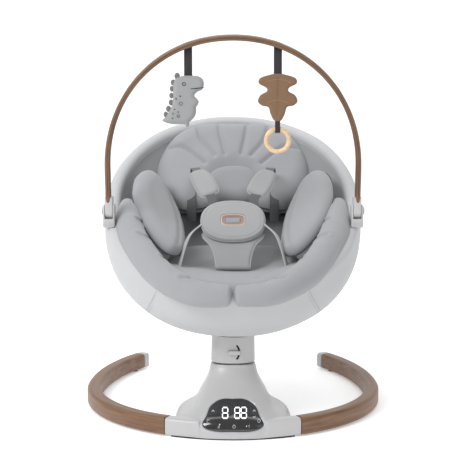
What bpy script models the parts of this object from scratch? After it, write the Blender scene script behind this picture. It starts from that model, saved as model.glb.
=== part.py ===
"""Baby swing: an egg-shaped fabric seat that a motor in the front pod rocks from side to side.

Metres, +Z up, +X to the baby's left. The origin is the middle of the footprint, on the floor.
The base is an open ring, the pillar rises from its front, and the seat stands on the pillar.
"""
import math

import bmesh
import bpy
import numpy as np
from mathutils import Matrix, Vector

# Driving dimensions
BASE_RADIUS = 0.300
ARM_WIDTH = 0.028
ARM_HEIGHT = 0.033
ARM_EDGE = 0.005
ARM_REAR_REACH = 0.390
ARM_END_ANGLE = math.radians(44.8)
ARM_CAP_ANGLE = math.radians(2.7)
POD_HALF_ANGLE = math.radians(25.3)
FOOT_HEIGHT = 0.0022
FOOT_RADIUS = 0.009
FRONT_FOOT_ANGLE = math.radians(23)

POD_DEPTH = 0.195
PILLAR_TOP = 0.116
PILLAR_TOP_FRONT = 0.185
PILLAR_TOP_BACK = 0.115
PILLAR_CROWN = 0.36
POD_HALF_WIDTH = 0.112
NECK_HALF_WIDTH = 0.0425
HOUSING_WALL = 0.003
NECK_GAP = 0.002

SWAY_AXIS_Z = 0.042
SWAY_AXIS_Y = -0.150
SWAY_HALF_ANGLE = math.radians(5.0)
CRANK_RISE = 0.045
SHAFT_RADIUS = 0.005
STEM_WIDTH = 0.030
STEM_THICKNESS = 0.014
RECLINE_AXIS_Z = 0.143
RECLINE_TRAVEL = math.radians(15.0)
RECLINE_PIN_RADIUS = 0.004

HOOP_HALF_WIDTH = 0.257
HOOP_HALF_LENGTH = 0.3165
HOOP_FULLNESS = 2.15
HOOP_SLOPE = math.radians(29.6)
HOOP_HEIGHT = 0.409
HOOP_TUBE_RADIUS = 0.0095
BOWL_DEPTH = 0.160
BOWL_LEAN = -0.2285
FABRIC = 0.003
RIM_ROLL = 0.0135
RIM_LIP = 0.025

BAR_HALF_WIDTH = 0.2498
BAR_LEG = 0.086
BAR_RISE = 0.2585
BAR_THICKNESS = 0.010
BAR_DEPTH = 0.024
BAR_LEAN = math.radians(8.0)
BAR_PIVOT_Y = -0.080
BAR_PIVOT_Z = 0.4015
TOY_X = 0.0855
STRAP_WIDTH = 0.0155
STRAP_THICKNESS = 0.0016
TOY_PIN_RADIUS = 0.0012

# Clearances
GAP = 0.0003
RUNNING = 0.0003
PAD_GAP = 0.0008

COLLECTION = "baby_swing"


# ---------------------------------------------------------------- scene and finishes
for old in list(bpy.data.objects):
    bpy.data.objects.remove(old, do_unlink=True)

parts = bpy.data.collections.new(COLLECTION)
guides = bpy.data.collections.new("cutters")
bpy.context.scene.collection.children.link(parts)
bpy.context.scene.collection.children.link(guides)


def linear(value):
    """One sRGB channel, 0 to 255, as the linear value that a shader takes."""
    share = value / 255
    return share / 12.92 if share <= 0.04045 else ((share + 0.055) / 1.055) ** 2.4


def finish(name, red, green, blue, roughness, metallic=0.0):
    """A Principled material from an sRGB colour."""
    material = bpy.data.materials.new(name)
    material.use_nodes = True
    shader = material.node_tree.nodes["Principled BSDF"]
    shader.inputs["Base Color"].default_value = (linear(red), linear(green), linear(blue), 1.0)
    shader.inputs["Roughness"].default_value = roughness
    shader.inputs["Metallic"].default_value = metallic
    return material


SHELL = finish("light_grey_plastic", 198, 198, 199, 0.45)
WOOD = finish("brown_woodgrain_shell", 122, 86, 60, 0.5)
RUBBER = finish("black_rubber", 40, 40, 42, 0.9)
STEEL = finish("zinc_plated_steel", 176, 178, 182, 0.35, 1.0)
PANEL = finish("black_gloss_panel", 30, 30, 32, 0.1)
BOARD = finish("green_circuit_board", 40, 92, 60, 0.6)
MOTOR = finish("motor_can", 150, 152, 156, 0.4, 1.0)
NYLON = finish("white_nylon", 220, 219, 212, 0.5)
COVER = finish("sling_fabric", 193, 194, 196, 0.9)
CUSHION = finish("cushion_fabric", 172, 173, 176, 0.9)
WEBBING = finish("black_webbing", 44, 42, 43, 0.85)
STRAP_GREY = finish("grey_webbing", 160, 161, 164, 0.85)
PLUSH = finish("grey_plush", 140, 140, 142, 0.95)
LEAF_FELT = finish("brown_leaf_fabric", 115, 90, 68, 0.95)
BEECH = finish("beech_wood", 222, 198, 162, 0.55)
BUCKLE = finish("buckle_plastic", 150, 130, 122, 0.5)


# ---------------------------------------------------------------- joint frames
def frame_at(name, location, parent=None, rotation=(0.0, 0.0, 0.0)):
    """An empty that carries the pieces of one moving group; location is in the parent's frame."""
    empty = bpy.data.objects.new(name, None)
    empty.location = location
    empty.rotation_euler = rotation
    empty.parent = parent
    parts.objects.link(empty)
    bpy.context.view_layer.update()
    return empty


def add(name, mesh, material=None, parent=None, world=True):
    """One named part; with world the mesh is in world coordinates, else in its parent's."""
    part = bpy.data.objects.new(name, mesh)
    if material is None:
        guides.objects.link(part)
        part.hide_render = True
        part.display_type = "WIRE"
    else:
        parts.objects.link(part)
        part.data.materials.append(material)
    if parent is not None:
        part.parent = parent
        if world:
            part.matrix_parent_inverse = parent.matrix_world.inverted()
    return part


# ---------------------------------------------------------------- shape helpers
def mesh_from(name, build):
    """A mesh made by build(bm)."""
    bm = bmesh.new()
    build(bm)
    mesh = bpy.data.meshes.new(name)
    bm.to_mesh(mesh)
    bm.free()
    return mesh


def box_mesh(name, low, high):
    """A box between two corners."""
    low, high = Vector(low), Vector(high)
    size = high - low
    matrix = Matrix.Translation((low + high) / 2) @ Matrix.Diagonal((*size, 1.0))
    return mesh_from(name, lambda bm: bmesh.ops.create_cube(bm, size=1.0, matrix=matrix))


def rod_mesh(name, start, end, radius, sides=24, end_radius=None):
    """A round rod, or a cone with end_radius, between two points."""
    start, end = Vector(start), Vector(end)
    run = end - start
    turn = Vector((0, 0, 1)).rotation_difference(run).to_matrix().to_4x4()
    matrix = Matrix.Translation((start + end) / 2) @ turn

    def build(bm):
        bmesh.ops.create_cone(bm, cap_ends=True, segments=sides, radius1=radius,
                              radius2=radius if end_radius is None else end_radius,
                              depth=run.length, matrix=matrix)

    return mesh_from(name, build)


def loft_mesh(name, rings):
    """A closed skin through rings of points with a face over each end."""
    def build(bm):
        rows = [[bm.verts.new(point) for point in ring] for ring in rings]
        count = len(rows[0])
        for lower, upper in zip(rows, rows[1:]):
            for i in range(count):
                j = (i + 1) % count
                bm.faces.new((lower[i], lower[j], upper[j], upper[i]))
        bm.faces.new(reversed(rows[0]))
        bm.faces.new(rows[-1])
        bmesh.ops.recalc_face_normals(bm, faces=bm.faces[:])

    return mesh_from(name, build)


def patch_mesh(name, outline, surface, towards, rings=5, hollow=None):
    """An open skin: an outline in the plane, filled by rings and laid on a surface function.

    hollow is a second outline of as many points, which leaves a hole in the middle.
    """
    centre = np.mean(outline, axis=0)

    def build(bm):
        first = 0 if hollow is not None else 1
        rows = []
        for k in range(first, rings + 1):
            share = k / rings
            row = []
            for i, point in enumerate(outline):
                inner = centre if hollow is None else hollow[i]
                row.append(bm.verts.new(surface(*(inner + (point - inner) * share))))
            rows.append(row)
        count = len(outline)
        for lower, upper in zip(rows, rows[1:]):
            for i in range(count):
                j = (i + 1) % count
                bm.faces.new((lower[i], lower[j], upper[j], upper[i]))
        if hollow is None:
            middle = bm.verts.new(surface(*centre))
            for i in range(count):
                bm.faces.new((middle, rows[0][(i + 1) % count], rows[0][i]))
        bm.normal_update()
        lean = sum((face.normal.dot(Vector(towards)) for face in bm.faces))
        if lean < 0:
            bmesh.ops.reverse_faces(bm, faces=bm.faces[:])

    return mesh_from(name, build)


def oval(centre, half_width, half_length, fullness=2.4, count=22, turn=0.0):
    """A superellipse as an array of plane points."""
    angles = np.linspace(0, 2 * math.pi, count, endpoint=False)
    x = half_width * np.sign(np.cos(angles)) * np.abs(np.cos(angles)) ** (2 / fullness)
    y = half_length * np.sign(np.sin(angles)) * np.abs(np.sin(angles)) ** (2 / fullness)
    c, s = math.cos(turn), math.sin(turn)
    return np.stack([centre[0] + c * x - s * y, centre[1] + s * x + c * y], axis=1)


def rounded_section(width, height, edge, steps=2):
    """The corner points of a rounded rectangle about the origin."""
    points = []
    corners = ((1, 1, 0), (-1, 1, 90), (-1, -1, 180), (1, -1, 270))
    for side_x, side_y, start in corners:
        for k in range(steps + 1):
            angle = math.radians(start + 90 * k / steps)
            points.append((side_x * (width / 2 - edge) + edge * math.cos(angle),
                           side_y * (height / 2 - edge) + edge * math.sin(angle)))
    return points


def poly_curve(name, points, cyclic=False, flat=False):
    """Curve data with one straight-sided spline through the points."""
    curve = bpy.data.curves.new(name, "CURVE")
    curve.dimensions = "2D" if flat else "3D"
    spline = curve.splines.new("POLY")
    spline.points.add(len(points) - 1)
    for knot, point in zip(spline.points, points):
        knot.co = (*point, 1.0) if len(point) == 3 else (*point, 0.0, 1.0)
    spline.use_cyclic_u = cyclic
    return curve


def curve_to_mesh(holder, name):
    """The mesh of a curve object with its caps welded; the curve object is removed."""
    bpy.context.view_layer.update()
    graph = bpy.context.evaluated_depsgraph_get()
    mesh = bpy.data.meshes.new_from_object(holder.evaluated_get(graph))
    mesh.transform(holder.matrix_world)
    mesh.name = name
    bpy.data.objects.remove(holder, do_unlink=True)
    bm = bmesh.new()
    bm.from_mesh(mesh)
    bmesh.ops.remove_doubles(bm, verts=bm.verts[:], dist=1e-5)
    bmesh.ops.recalc_face_normals(bm, faces=bm.faces[:])
    bm.to_mesh(mesh)
    bm.free()
    mesh.materials.clear()
    return mesh


def tube_mesh(name, points, radius, resolution=2, scales=None, closed=False):
    """A round tube along a path, as a closed mesh; scales widen or narrow it along the way."""
    curve = poly_curve(name, points, cyclic=closed)
    curve.bevel_depth = radius
    curve.bevel_resolution = resolution
    curve.use_fill_caps = True
    if scales is not None:
        for knot, scale in zip(curve.splines[0].points, scales):
            knot.radius = scale
    holder = bpy.data.objects.new(name, curve)
    guides.objects.link(holder)
    return curve_to_mesh(holder, name)


def rail_mesh(name, points, section):
    """A rail of one section along a level path, as a closed mesh."""
    profile = bpy.data.objects.new(name + "_profile", poly_curve(name + "_section", section, True, True))
    guides.objects.link(profile)
    profile.hide_render = True
    profile.display_type = "WIRE"
    curve = poly_curve(name, points, flat=True)
    curve.bevel_mode = "OBJECT"
    curve.bevel_object = profile
    curve.use_fill_caps = True
    holder = bpy.data.objects.new(name, curve)
    guides.objects.link(holder)
    mesh = curve_to_mesh(holder, name)
    bpy.data.objects.remove(profile, do_unlink=True)
    return mesh


def extrude_mesh(name, outline, thickness):
    """A flat outline in the XY plane, thickened about it."""
    curve = poly_curve(name, outline, cyclic=True, flat=True)
    curve.fill_mode = "BOTH"
    curve.extrude = thickness / 2
    holder = bpy.data.objects.new(name, curve)
    guides.objects.link(holder)
    return curve_to_mesh(holder, name)


def boolean(part, operation, other_mesh):
    """A live Boolean of a part with a guide made from a world mesh."""
    guide = add(part.name + "_guide", other_mesh)
    modifier = part.modifiers.new(operation.lower(), "BOOLEAN")
    modifier.operation = operation
    modifier.object = guide
    modifier.solver = "EXACT"
    return guide


def thicken(part, thickness, outward=True):
    """Give an open skin its wall."""
    wall = part.modifiers.new("wall", "SOLIDIFY")
    wall.thickness = thickness
    wall.offset = 1.0 if outward else -1.0
    wall.use_even_offset = True
    return wall


def smooth_between(points, where):
    """A smooth curve through (place, value) points, read at one place."""
    places = [p[0] for p in points]
    values = [p[1] for p in points]
    if where <= places[0]:
        return values[0]
    if where >= places[-1]:
        return values[-1]
    slopes = np.gradient(values, places)
    i = int(np.searchsorted(places, where)) - 1
    span = places[i + 1] - places[i]
    t = (where - places[i]) / span
    return ((2 * t**3 - 3 * t**2 + 1) * values[i] + (t**3 - 2 * t**2 + t) * span * slopes[i]
            + (3 * t**2 - 2 * t**3) * values[i + 1] + (t**3 - t**2) * span * slopes[i + 1])


def ease(low, high, value):
    """0 below low, 1 above high, and a smooth step between."""
    t = min(1.0, max(0.0, (value - low) / (high - low)))
    return t * t * (3 - 2 * t)


# ---------------------------------------------------------------- base ring
RING_RADIUS = BASE_RADIUS - ARM_WIDTH / 2
ARM_MIDDLE_Z = FOOT_HEIGHT + GAP + ARM_HEIGHT / 2
SIDES = (("left", -1), ("right", 1))
END_STEP = math.radians(0.3)


def ring_point(angle):
    """The ring's middle line; angle is 0 at the front and grows towards either side."""
    if angle <= math.pi / 2:
        return Vector((RING_RADIUS * math.sin(angle), -RING_RADIUS * math.cos(angle)))
    past = angle - math.pi / 2
    return Vector((RING_RADIUS * math.cos(past), ARM_REAR_REACH * math.sin(past)))


def ring_path(start, end, side, count):
    """Points along the ring between two angles, on the left (-1) or right (1).

    A short step at each end keeps the end faces square to the ring.
    """
    angles = np.linspace(start, end, count)
    angles = [start, start + END_STEP, *angles[1:-1], end - END_STEP, end]
    return [(side * ring_point(angle).x, ring_point(angle).y) for angle in angles]


def ring_rail(name, start, end, side, count, width=ARM_WIDTH):
    """A stretch of the ring with the arm's section, at its height."""
    mesh = rail_mesh(name, ring_path(start, end, side, count), rounded_section(width, ARM_HEIGHT, ARM_EDGE))
    mesh.transform(Matrix.Translation((0, 0, ARM_MIDDLE_Z)))
    return mesh


ARM_END = math.pi / 2 + ARM_END_ANGLE
CAP_START = ARM_END - ARM_CAP_ANGLE
GAP_ANGLE = GAP / RING_RADIUS
SPIGOT_RADIUS = 0.008
SPIGOT_REACH = 0.020


def spigot_ends(side, extra=0.0):
    """The two ends of the steel tube that joins an arm to the pod."""
    middle = ring_point(POD_HALF_ANGLE)
    along = Vector((math.cos(POD_HALF_ANGLE), math.sin(POD_HALF_ANGLE)))
    ends = []
    for way in (-1, 1):
        spot = middle + along * way * (SPIGOT_REACH + extra)
        ends.append((side * spot.x, spot.y, ARM_MIDDLE_Z))
    return ends


for side_name, side in SIDES:
    arm = add(side_name + "_base_arm", ring_rail("arm", POD_HALF_ANGLE + GAP_ANGLE, CAP_START - GAP_ANGLE,
                                                 side, 20), WOOD)
    boolean(arm, "DIFFERENCE", rod_mesh("arm_bore", *spigot_ends(side, GAP), SPIGOT_RADIUS + GAP, 16))
    add(side_name + "_arm_cap", ring_rail("cap", CAP_START, ARM_END, side, 4), SHELL)
    add(side_name + "_arm_spigot", rod_mesh("spigot", *spigot_ends(side), SPIGOT_RADIUS, 16), STEEL)
    spot = ring_point(CAP_START - math.radians(4))
    foot = add(f"rear_{side_name}_foot",
               rod_mesh("foot", (0, 0, 0), (0, 0, FOOT_HEIGHT), FOOT_RADIUS, 20), RUBBER)
    foot.location = (side * spot.x, spot.y, 0)

front_strip = rail_mesh("front_foot_strip",
                        ring_path(-FRONT_FOOT_ANGLE, FRONT_FOOT_ANGLE, 1, 13),
                        rounded_section(2 * FOOT_RADIUS, FOOT_HEIGHT, 0.0008, 1))
front_strip.transform(Matrix.Translation((0, 0, FOOT_HEIGHT / 2)))
add("front_foot_strip", front_strip, RUBBER)


# ---------------------------------------------------------------- pod and pillar housing
POD_FRONT = -BASE_RADIUS
POD_BACK = POD_FRONT + POD_DEPTH
HOUSING_BOTTOM = FOOT_HEIGHT + GAP
PILLAR_WIDTHS = ((HOUSING_BOTTOM, POD_HALF_WIDTH), (0.018, POD_HALF_WIDTH - 0.002), (0.0303, 0.1014),
                 (0.0435, 0.078), (0.068, 0.0623), (0.0926, 0.0485), (PILLAR_TOP, NECK_HALF_WIDTH))
PILLAR_LEVELS = [HOUSING_BOTTOM, 0.010, 0.018, 0.0243, 0.0303, 0.036,
                 *np.linspace(0.0435, PILLAR_TOP - 0.007, 6)]


def pillar_front(z):
    """The front face's Y on the middle line."""
    return POD_FRONT + (-PILLAR_TOP_FRONT - POD_FRONT) * ease(0.020, PILLAR_TOP, z)


def pillar_back(z):
    """The back face's Y on the middle line."""
    return POD_BACK + (-PILLAR_TOP_BACK - POD_BACK) * ease(0.020, PILLAR_TOP, z)


def pillar_squareness(z):
    """How square the pillar's section is: a full oval above, squarer at the pod."""
    return 4.5 - 1.7 * ease(0.02, 0.09, z)


def pillar_ring(z, inset=0.0, height=None, count=40):
    """The pillar's section at a level as a ring; height gives each point's Z."""
    half_width = smooth_between(PILLAR_WIDTHS, z) - inset
    front, back = pillar_front(z) + inset, pillar_back(z) - inset
    middle = (front + back) / 2
    power = 2 / pillar_squareness(z)
    ring = []
    for k in range(count):
        angle = 2 * math.pi * k / count
        c, s = math.cos(angle), math.sin(angle)
        x = half_width * math.copysign(abs(c) ** power, c)
        if s < 0:
            y = middle + (-math.sqrt(front**2 - x**2) - middle) * abs(s) ** power
        else:
            y = middle + (back - middle) * abs(s) ** power
        ring.append((x, y, z if height is None else height(x)))
    return ring


def front_surface(x, z, lift=0.0):
    """A point on the housing's front face, or lifted off it."""
    half_width = smooth_between(PILLAR_WIDTHS, z)
    front = pillar_front(z)
    middle = (front + pillar_back(z)) / 2
    power = pillar_squareness(z)
    edge = max(0.0, 1 - abs(x / half_width) ** power) ** (1 / power)
    return (x, middle + (-math.sqrt(front**2 - x**2) - middle) * edge - lift, z)


def crown(x):
    """The pillar's top edge, a little lower at its sides."""
    return PILLAR_TOP - x * x / (2 * PILLAR_CROWN)


def housing_form(name, inset=0.0, bottom=0.0, top=0.0):
    """The pod and pillar as one closed body; bottom and top push its ends out past the housing."""
    rings = [pillar_ring(z, inset) for z in PILLAR_LEVELS]
    rings[0] = [(x, y, z - bottom) for x, y, z in rings[0]]
    rings.append(pillar_ring(PILLAR_TOP, inset, lambda x: crown(x) + top))
    return loft_mesh(name, rings)


SPLIT_Y = SWAY_AXIS_Y
REACH = 1.0


def half_space(name, front, gap=0.0):
    """A large box in front of, or behind, the plane where the housing and the neck part."""
    if front:
        return box_mesh(name, (-REACH, -REACH, -REACH), (REACH, SPLIT_Y - gap, REACH))
    return box_mesh(name, (-REACH, SPLIT_Y + gap, -REACH), (REACH, REACH, REACH))


INLET_X = 0.050
INLET_Z = 0.020
INLET_LOW = (INLET_X - 0.007, POD_BACK - 0.020, INLET_Z - 0.006)
INLET_HIGH = (INLET_X + 0.007, POD_BACK + 0.0015, INLET_Z + 0.006)


def grown(low, high, by):
    """A box's corners moved out on every side."""
    return tuple(v - by for v in low), tuple(v + by for v in high)


for place, front in (("front", True), ("rear", False)):
    housing = add(f"{place}_housing", housing_form(place + "_housing"), SHELL)
    if front:
        for side_name, side in SIDES:
            boolean(housing, "UNION", ring_rail("shoulder", math.radians(14), POD_HALF_ANGLE, side, 8,
                                                ARM_WIDTH - 0.001))
    boolean(housing, "DIFFERENCE", housing_form("cavity", HOUSING_WALL, bottom=0.02, top=0.02))
    boolean(housing, "DIFFERENCE", half_space("far_half", not front, -GAP / 2))
    if front:
        for side_name, side in SIDES:
            boolean(housing, "DIFFERENCE",
                    rod_mesh("pod_bore", *spigot_ends(side, GAP), SPIGOT_RADIUS + GAP, 16))
    else:
        boolean(housing, "DIFFERENCE", box_mesh("inlet_seat", *grown(INLET_LOW, INLET_HIGH, GAP)))

PLATE_THICKNESS = 0.003
PLATE_CLEARANCE = 0.0012
plate_ring = pillar_ring(HOUSING_BOTTOM, HOUSING_WALL + PLATE_CLEARANCE)
add("floor_plate", loft_mesh("floor_plate", [[(x, y, HOUSING_BOTTOM) for x, y, z in plate_ring],
                                             [(x, y, HOUSING_BOTTOM + PLATE_THICKNESS)
                                              for x, y, z in plate_ring]]), SHELL)
PLATE_TOP = HOUSING_BOTTOM + PLATE_THICKNESS + GAP

inlet = add("power_inlet", box_mesh("power_inlet", INLET_LOW, INLET_HIGH), RUBBER)
boolean(inlet, "DIFFERENCE", rod_mesh("inlet_bore", (INLET_X, INLET_HIGH[1] - 0.009, INLET_Z),
                                      (INLET_X, INLET_HIGH[1] + 0.01, INLET_Z), 0.0034, 16))

# The touch panel: a wide D that follows the pod's front face
PANEL_LOW = 0.0167
PANEL_SCALE = 0.0489 / 0.0632
PANEL_THICKNESS = 0.0012
PANEL_SEAT_GAP = 0.0012
PANEL_SIDE = ((0.0, 0.0), (0.0179, 0.0), (0.0314, 0.0047), (0.0444, 0.0158), (0.0511, 0.0318),
              (0.0585, 0.0478), (0.0511, 0.0577), (0.0314, 0.0632), (0.0, 0.0632))


def closed_half_curve(points, per_span=2):
    """A smooth closed outline, symmetric about X = 0, from the points of its right half."""
    knots = [Vector(p) for p in points]
    half = []
    for i in range(len(knots) - 1):
        before = knots[i - 1] if i else Vector((-knots[1].x, knots[1].y))
        after = knots[i + 2] if i + 2 < len(knots) else Vector((-knots[i].x, knots[i].y))
        for k in range(per_span):
            t = k / per_span
            a, b = knots[i], knots[i + 1]
            half.append(0.5 * ((2 * a) + (b - before) * t + (2 * before - 5 * a + 4 * b - after) * t**2
                               + (3 * a - before - 3 * b + after) * t**3))
    half.append(knots[-1])
    mirrored = [Vector((-p.x, p.y)) for p in reversed(half[1:-1])]
    return np.array([tuple(p) for p in half + mirrored])


panel_outline = closed_half_curve(PANEL_SIDE)
panel_outline[:, 1] = PANEL_LOW + (PANEL_SIDE[-1][1] - panel_outline[:, 1]) * PANEL_SCALE
panel = add("touch_panel", patch_mesh("touch_panel", panel_outline,
                                      lambda x, z: front_surface(x, z, -PANEL_THICKNESS), (0, -1, 0), 3), PANEL)
thicken(panel, PANEL_THICKNESS)

# The panel lies flush in a shallow seat in the housing's front
panel_middle = panel_outline.mean(axis=0)
panel_spread = 1 + PANEL_SEAT_GAP / np.abs(panel_outline - panel_middle).max()
panel_seat = boolean(bpy.data.objects["front_housing"], "DIFFERENCE",
                     patch_mesh("panel_seat", panel_middle + (panel_outline - panel_middle) * panel_spread,
                                lambda x, z: front_surface(x, z, -PANEL_THICKNESS - 2 * GAP), (0, -1, 0), 3))
thicken(panel_seat, PANEL_THICKNESS + 0.003)

add("control_board", box_mesh("control_board", (-0.040, -0.2560, 0.012), (0.040, -0.2544, 0.050)), BOARD)
add("speaker", rod_mesh("speaker", (-0.066, -0.190, PLATE_TOP), (-0.066, -0.190, PLATE_TOP + 0.018),
                        0.018, 24), RUBBER)


# ---------------------------------------------------------------- sway drive
CHEEK_SPAN = 0.064
CHEEK_THICKNESS = 0.004
HUB_RADIUS = 0.011
HUB_LENGTH = 0.032
SHAFT_OVERHANG = 0.003
PIVOT = Vector((0, SWAY_AXIS_Y, SWAY_AXIS_Z))
sway_axis = frame_at("sway_axis", PIVOT)


def shaft_rod(name, start, end, radius, height=SWAY_AXIS_Z, sides=24):
    """A rod along Y between two distances from the sway plane."""
    return rod_mesh(name, (0, SWAY_AXIS_Y + start, height), (0, SWAY_AXIS_Y + end, height), radius, sides)


bracket = add("pivot_frame", box_mesh("pivot_frame", (-0.024, SWAY_AXIS_Y - CHEEK_SPAN / 2, PLATE_TOP),
                                      (0.024, SWAY_AXIS_Y + CHEEK_SPAN / 2, SWAY_AXIS_Z + 0.014)), STEEL)
boolean(bracket, "DIFFERENCE", box_mesh("frame_inside",
                                        (-REACH, SWAY_AXIS_Y - CHEEK_SPAN / 2 + CHEEK_THICKNESS,
                                         PLATE_TOP + CHEEK_THICKNESS),
                                        (REACH, SWAY_AXIS_Y + CHEEK_SPAN / 2 - CHEEK_THICKNESS, REACH)))
boolean(bracket, "DIFFERENCE", shaft_rod("frame_bore", -0.05, 0.05, SHAFT_RADIUS + RUNNING))
add("pivot_shaft", shaft_rod("pivot_shaft", -CHEEK_SPAN / 2 - SHAFT_OVERHANG,
                             CHEEK_SPAN / 2 + SHAFT_OVERHANG, SHAFT_RADIUS), STEEL)

CRANK_Z = SWAY_AXIS_Z + CRANK_RISE
CRANK_THROW = CRANK_RISE * math.sin(SWAY_HALF_ANGLE)
CRANK_PIN_RADIUS = 0.003
CRANK_SLOT_SIDE = 0.002
DISC_RADIUS = 0.013
DISC_BACK = -STEM_THICKNESS / 2 - 0.002
DISC_FRONT = DISC_BACK - 0.004
MOTOR_SHAFT_RADIUS = 0.003
GEARBOX_FRONT = DISC_FRONT - 0.020

crank_axis = frame_at("crank_axis", (0, SWAY_AXIS_Y, CRANK_Z))
crank = add("crank_disc", shaft_rod("crank_disc", DISC_FRONT, DISC_BACK, DISC_RADIUS, CRANK_Z), STEEL,
            crank_axis)
boolean(crank, "UNION", shaft_rod("crank_pin", DISC_FRONT + 0.002, STEM_THICKNESS / 2 - 0.001,
                                  CRANK_PIN_RADIUS, CRANK_Z + CRANK_THROW, 16))
boolean(crank, "UNION", shaft_rod("crank_shaft", DISC_FRONT - 0.012, DISC_FRONT + 0.002,
                                  MOTOR_SHAFT_RADIUS, CRANK_Z, 16))

MOTOR_RADIUS = 0.013
MOTOR_Y = SWAY_AXIS_Y - CHEEK_SPAN / 2 - SHAFT_OVERHANG - MOTOR_RADIUS - 0.001
MOTOR_TOP = CRANK_Z - 0.018
motor = add("gear_motor", box_mesh("gearbox", (-0.019, SWAY_AXIS_Y + GEARBOX_FRONT, CRANK_Z - 0.022),
                                   (0.019, SWAY_AXIS_Y + DISC_FRONT - 0.001, CRANK_Z + 0.010)), MOTOR)
boolean(motor, "UNION", box_mesh("gear_train", (-0.016, MOTOR_Y - MOTOR_RADIUS, MOTOR_TOP - 0.006),
                                 (0.016, SWAY_AXIS_Y + DISC_FRONT - 0.003, MOTOR_TOP + 0.006)))
boolean(motor, "UNION", rod_mesh("motor_can", (0, MOTOR_Y, PLATE_TOP), (0, MOTOR_Y, MOTOR_TOP),
                                 MOTOR_RADIUS))
boolean(motor, "DIFFERENCE", shaft_rod("gearbox_bore", DISC_FRONT - 0.013, 0, MOTOR_SHAFT_RADIUS + RUNNING,
                                       CRANK_Z, 16))

# The rocker arm swings on the shaft; the crank pin works in its slot and rocks it
RECLINE = Vector((0, SWAY_AXIS_Y, RECLINE_AXIS_Z))
stem = add("rocker_arm", box_mesh("stem", (-STEM_WIDTH / 2, SWAY_AXIS_Y - STEM_THICKNESS / 2, SWAY_AXIS_Z),
                                  (STEM_WIDTH / 2, SWAY_AXIS_Y + STEM_THICKNESS / 2, RECLINE_AXIS_Z)),
           STEEL, sway_axis)
boolean(stem, "UNION", shaft_rod("hub", -HUB_LENGTH / 2, HUB_LENGTH / 2, HUB_RADIUS))
boolean(stem, "UNION", rod_mesh("head", (-STEM_WIDTH / 2, SWAY_AXIS_Y, RECLINE_AXIS_Z),
                                (STEM_WIDTH / 2, SWAY_AXIS_Y, RECLINE_AXIS_Z), STEM_THICKNESS / 2 + 0.001))
boolean(stem, "DIFFERENCE", shaft_rod("hub_bore", -0.05, 0.05, SHAFT_RADIUS + RUNNING))
boolean(stem, "DIFFERENCE", rod_mesh("head_bore", (-0.05, SWAY_AXIS_Y, RECLINE_AXIS_Z),
                                     (0.05, SWAY_AXIS_Y, RECLINE_AXIS_Z), RECLINE_PIN_RADIUS + RUNNING))
slot_side = CRANK_PIN_RADIUS + CRANK_SLOT_SIDE
slot_rise = CRANK_THROW + CRANK_PIN_RADIUS + 0.0025
boolean(stem, "DIFFERENCE", box_mesh("crank_slot", (-slot_side, -REACH, CRANK_Z - slot_rise),
                                     (slot_side, REACH, CRANK_Z + slot_rise)))

LUG_INNER = STEM_WIDTH / 2 + 0.0008
LUG_THICKNESS = 0.008
add("recline_pin", rod_mesh("recline_pin", (-LUG_INNER - LUG_THICKNESS, SWAY_AXIS_Y, RECLINE_AXIS_Z),
                            (LUG_INNER + LUG_THICKNESS, SWAY_AXIS_Y, RECLINE_AXIS_Z),
                            RECLINE_PIN_RADIUS, 20), STEEL, sway_axis)


# ---------------------------------------------------------------- bowl of the seat
HOOP_POWER = 2 / HOOP_FULLNESS


def wall_shape(toward_front):
    """The bowl's fullness and flare; toward_front is 1 at the front and -1 at the back."""
    front = 0.5 + 0.5 * toward_front
    return 2.0 + 0.72 * front, 0.1557 * front


def bowl_point(angle, fall, inset=0.0):
    """A point of the bowl's outer face in hoop coordinates, or inside it by an inset.

    angle goes round the hoop from the baby's left; fall is 0 at the rim and pi/2 at the bottom.
    """
    c, s = math.cos(angle), math.sin(angle)
    c_shape = math.copysign(abs(c) ** HOOP_POWER, c)
    s_shape = math.copysign(abs(s) ** HOOP_POWER, s)
    fullness, flare = wall_shape(-s)
    reach = math.cos(fall) ** (2 / fullness) * (1 + flare * math.sin(2 * fall))
    drop = -(BOWL_DEPTH - inset) * math.sin(fall) ** (2 / fullness)
    return Vector(((HOOP_HALF_WIDTH - inset) * c_shape * reach,
                   (HOOP_HALF_LENGTH - inset) * s_shape * reach + BOWL_LEAN * drop, drop))


def bowl_floor(x, y, inset=0.0, raise_by=0.0):
    """The bowl's inner face as a height over the hoop plane, with the point lifted off it."""
    drop = -(BOWL_DEPTH - inset)
    for _ in range(12):
        across = abs(x) / (HOOP_HALF_WIDTH - inset)
        along = (y - BOWL_LEAN * drop) / (HOOP_HALF_LENGTH - inset)
        share = (across**HOOP_FULLNESS + abs(along) ** HOOP_FULLNESS) ** (1 / HOOP_FULLNESS)
        share = min(share, 0.9999)
        toward = 0.0 if share < 1e-6 else -along / share
        fullness, flare = wall_shape(max(-1.0, min(1.0, toward)))
        low, high = 0.25, math.pi / 2
        for _ in range(24):
            fall = (low + high) / 2
            if math.cos(fall) ** (2 / fullness) * (1 + flare * math.sin(2 * fall)) > share:
                low = fall
            else:
                high = fall
        drop = -(BOWL_DEPTH - inset) * math.sin(fall) ** (2 / fullness)
    return Vector((x, y, drop + raise_by))


def hoop_to_world_rotation():
    """The turn from hoop coordinates to the world."""
    return Matrix.Rotation(HOOP_SLOPE, 4, "X")


def back_reach():
    """How far behind the hoop's centre the bowl's wall comes, in world Y."""
    turn = hoop_to_world_rotation()
    falls = np.linspace(0, math.pi / 2, 120)
    return max((turn @ bowl_point(math.pi / 2, fall)).y for fall in falls)


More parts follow.
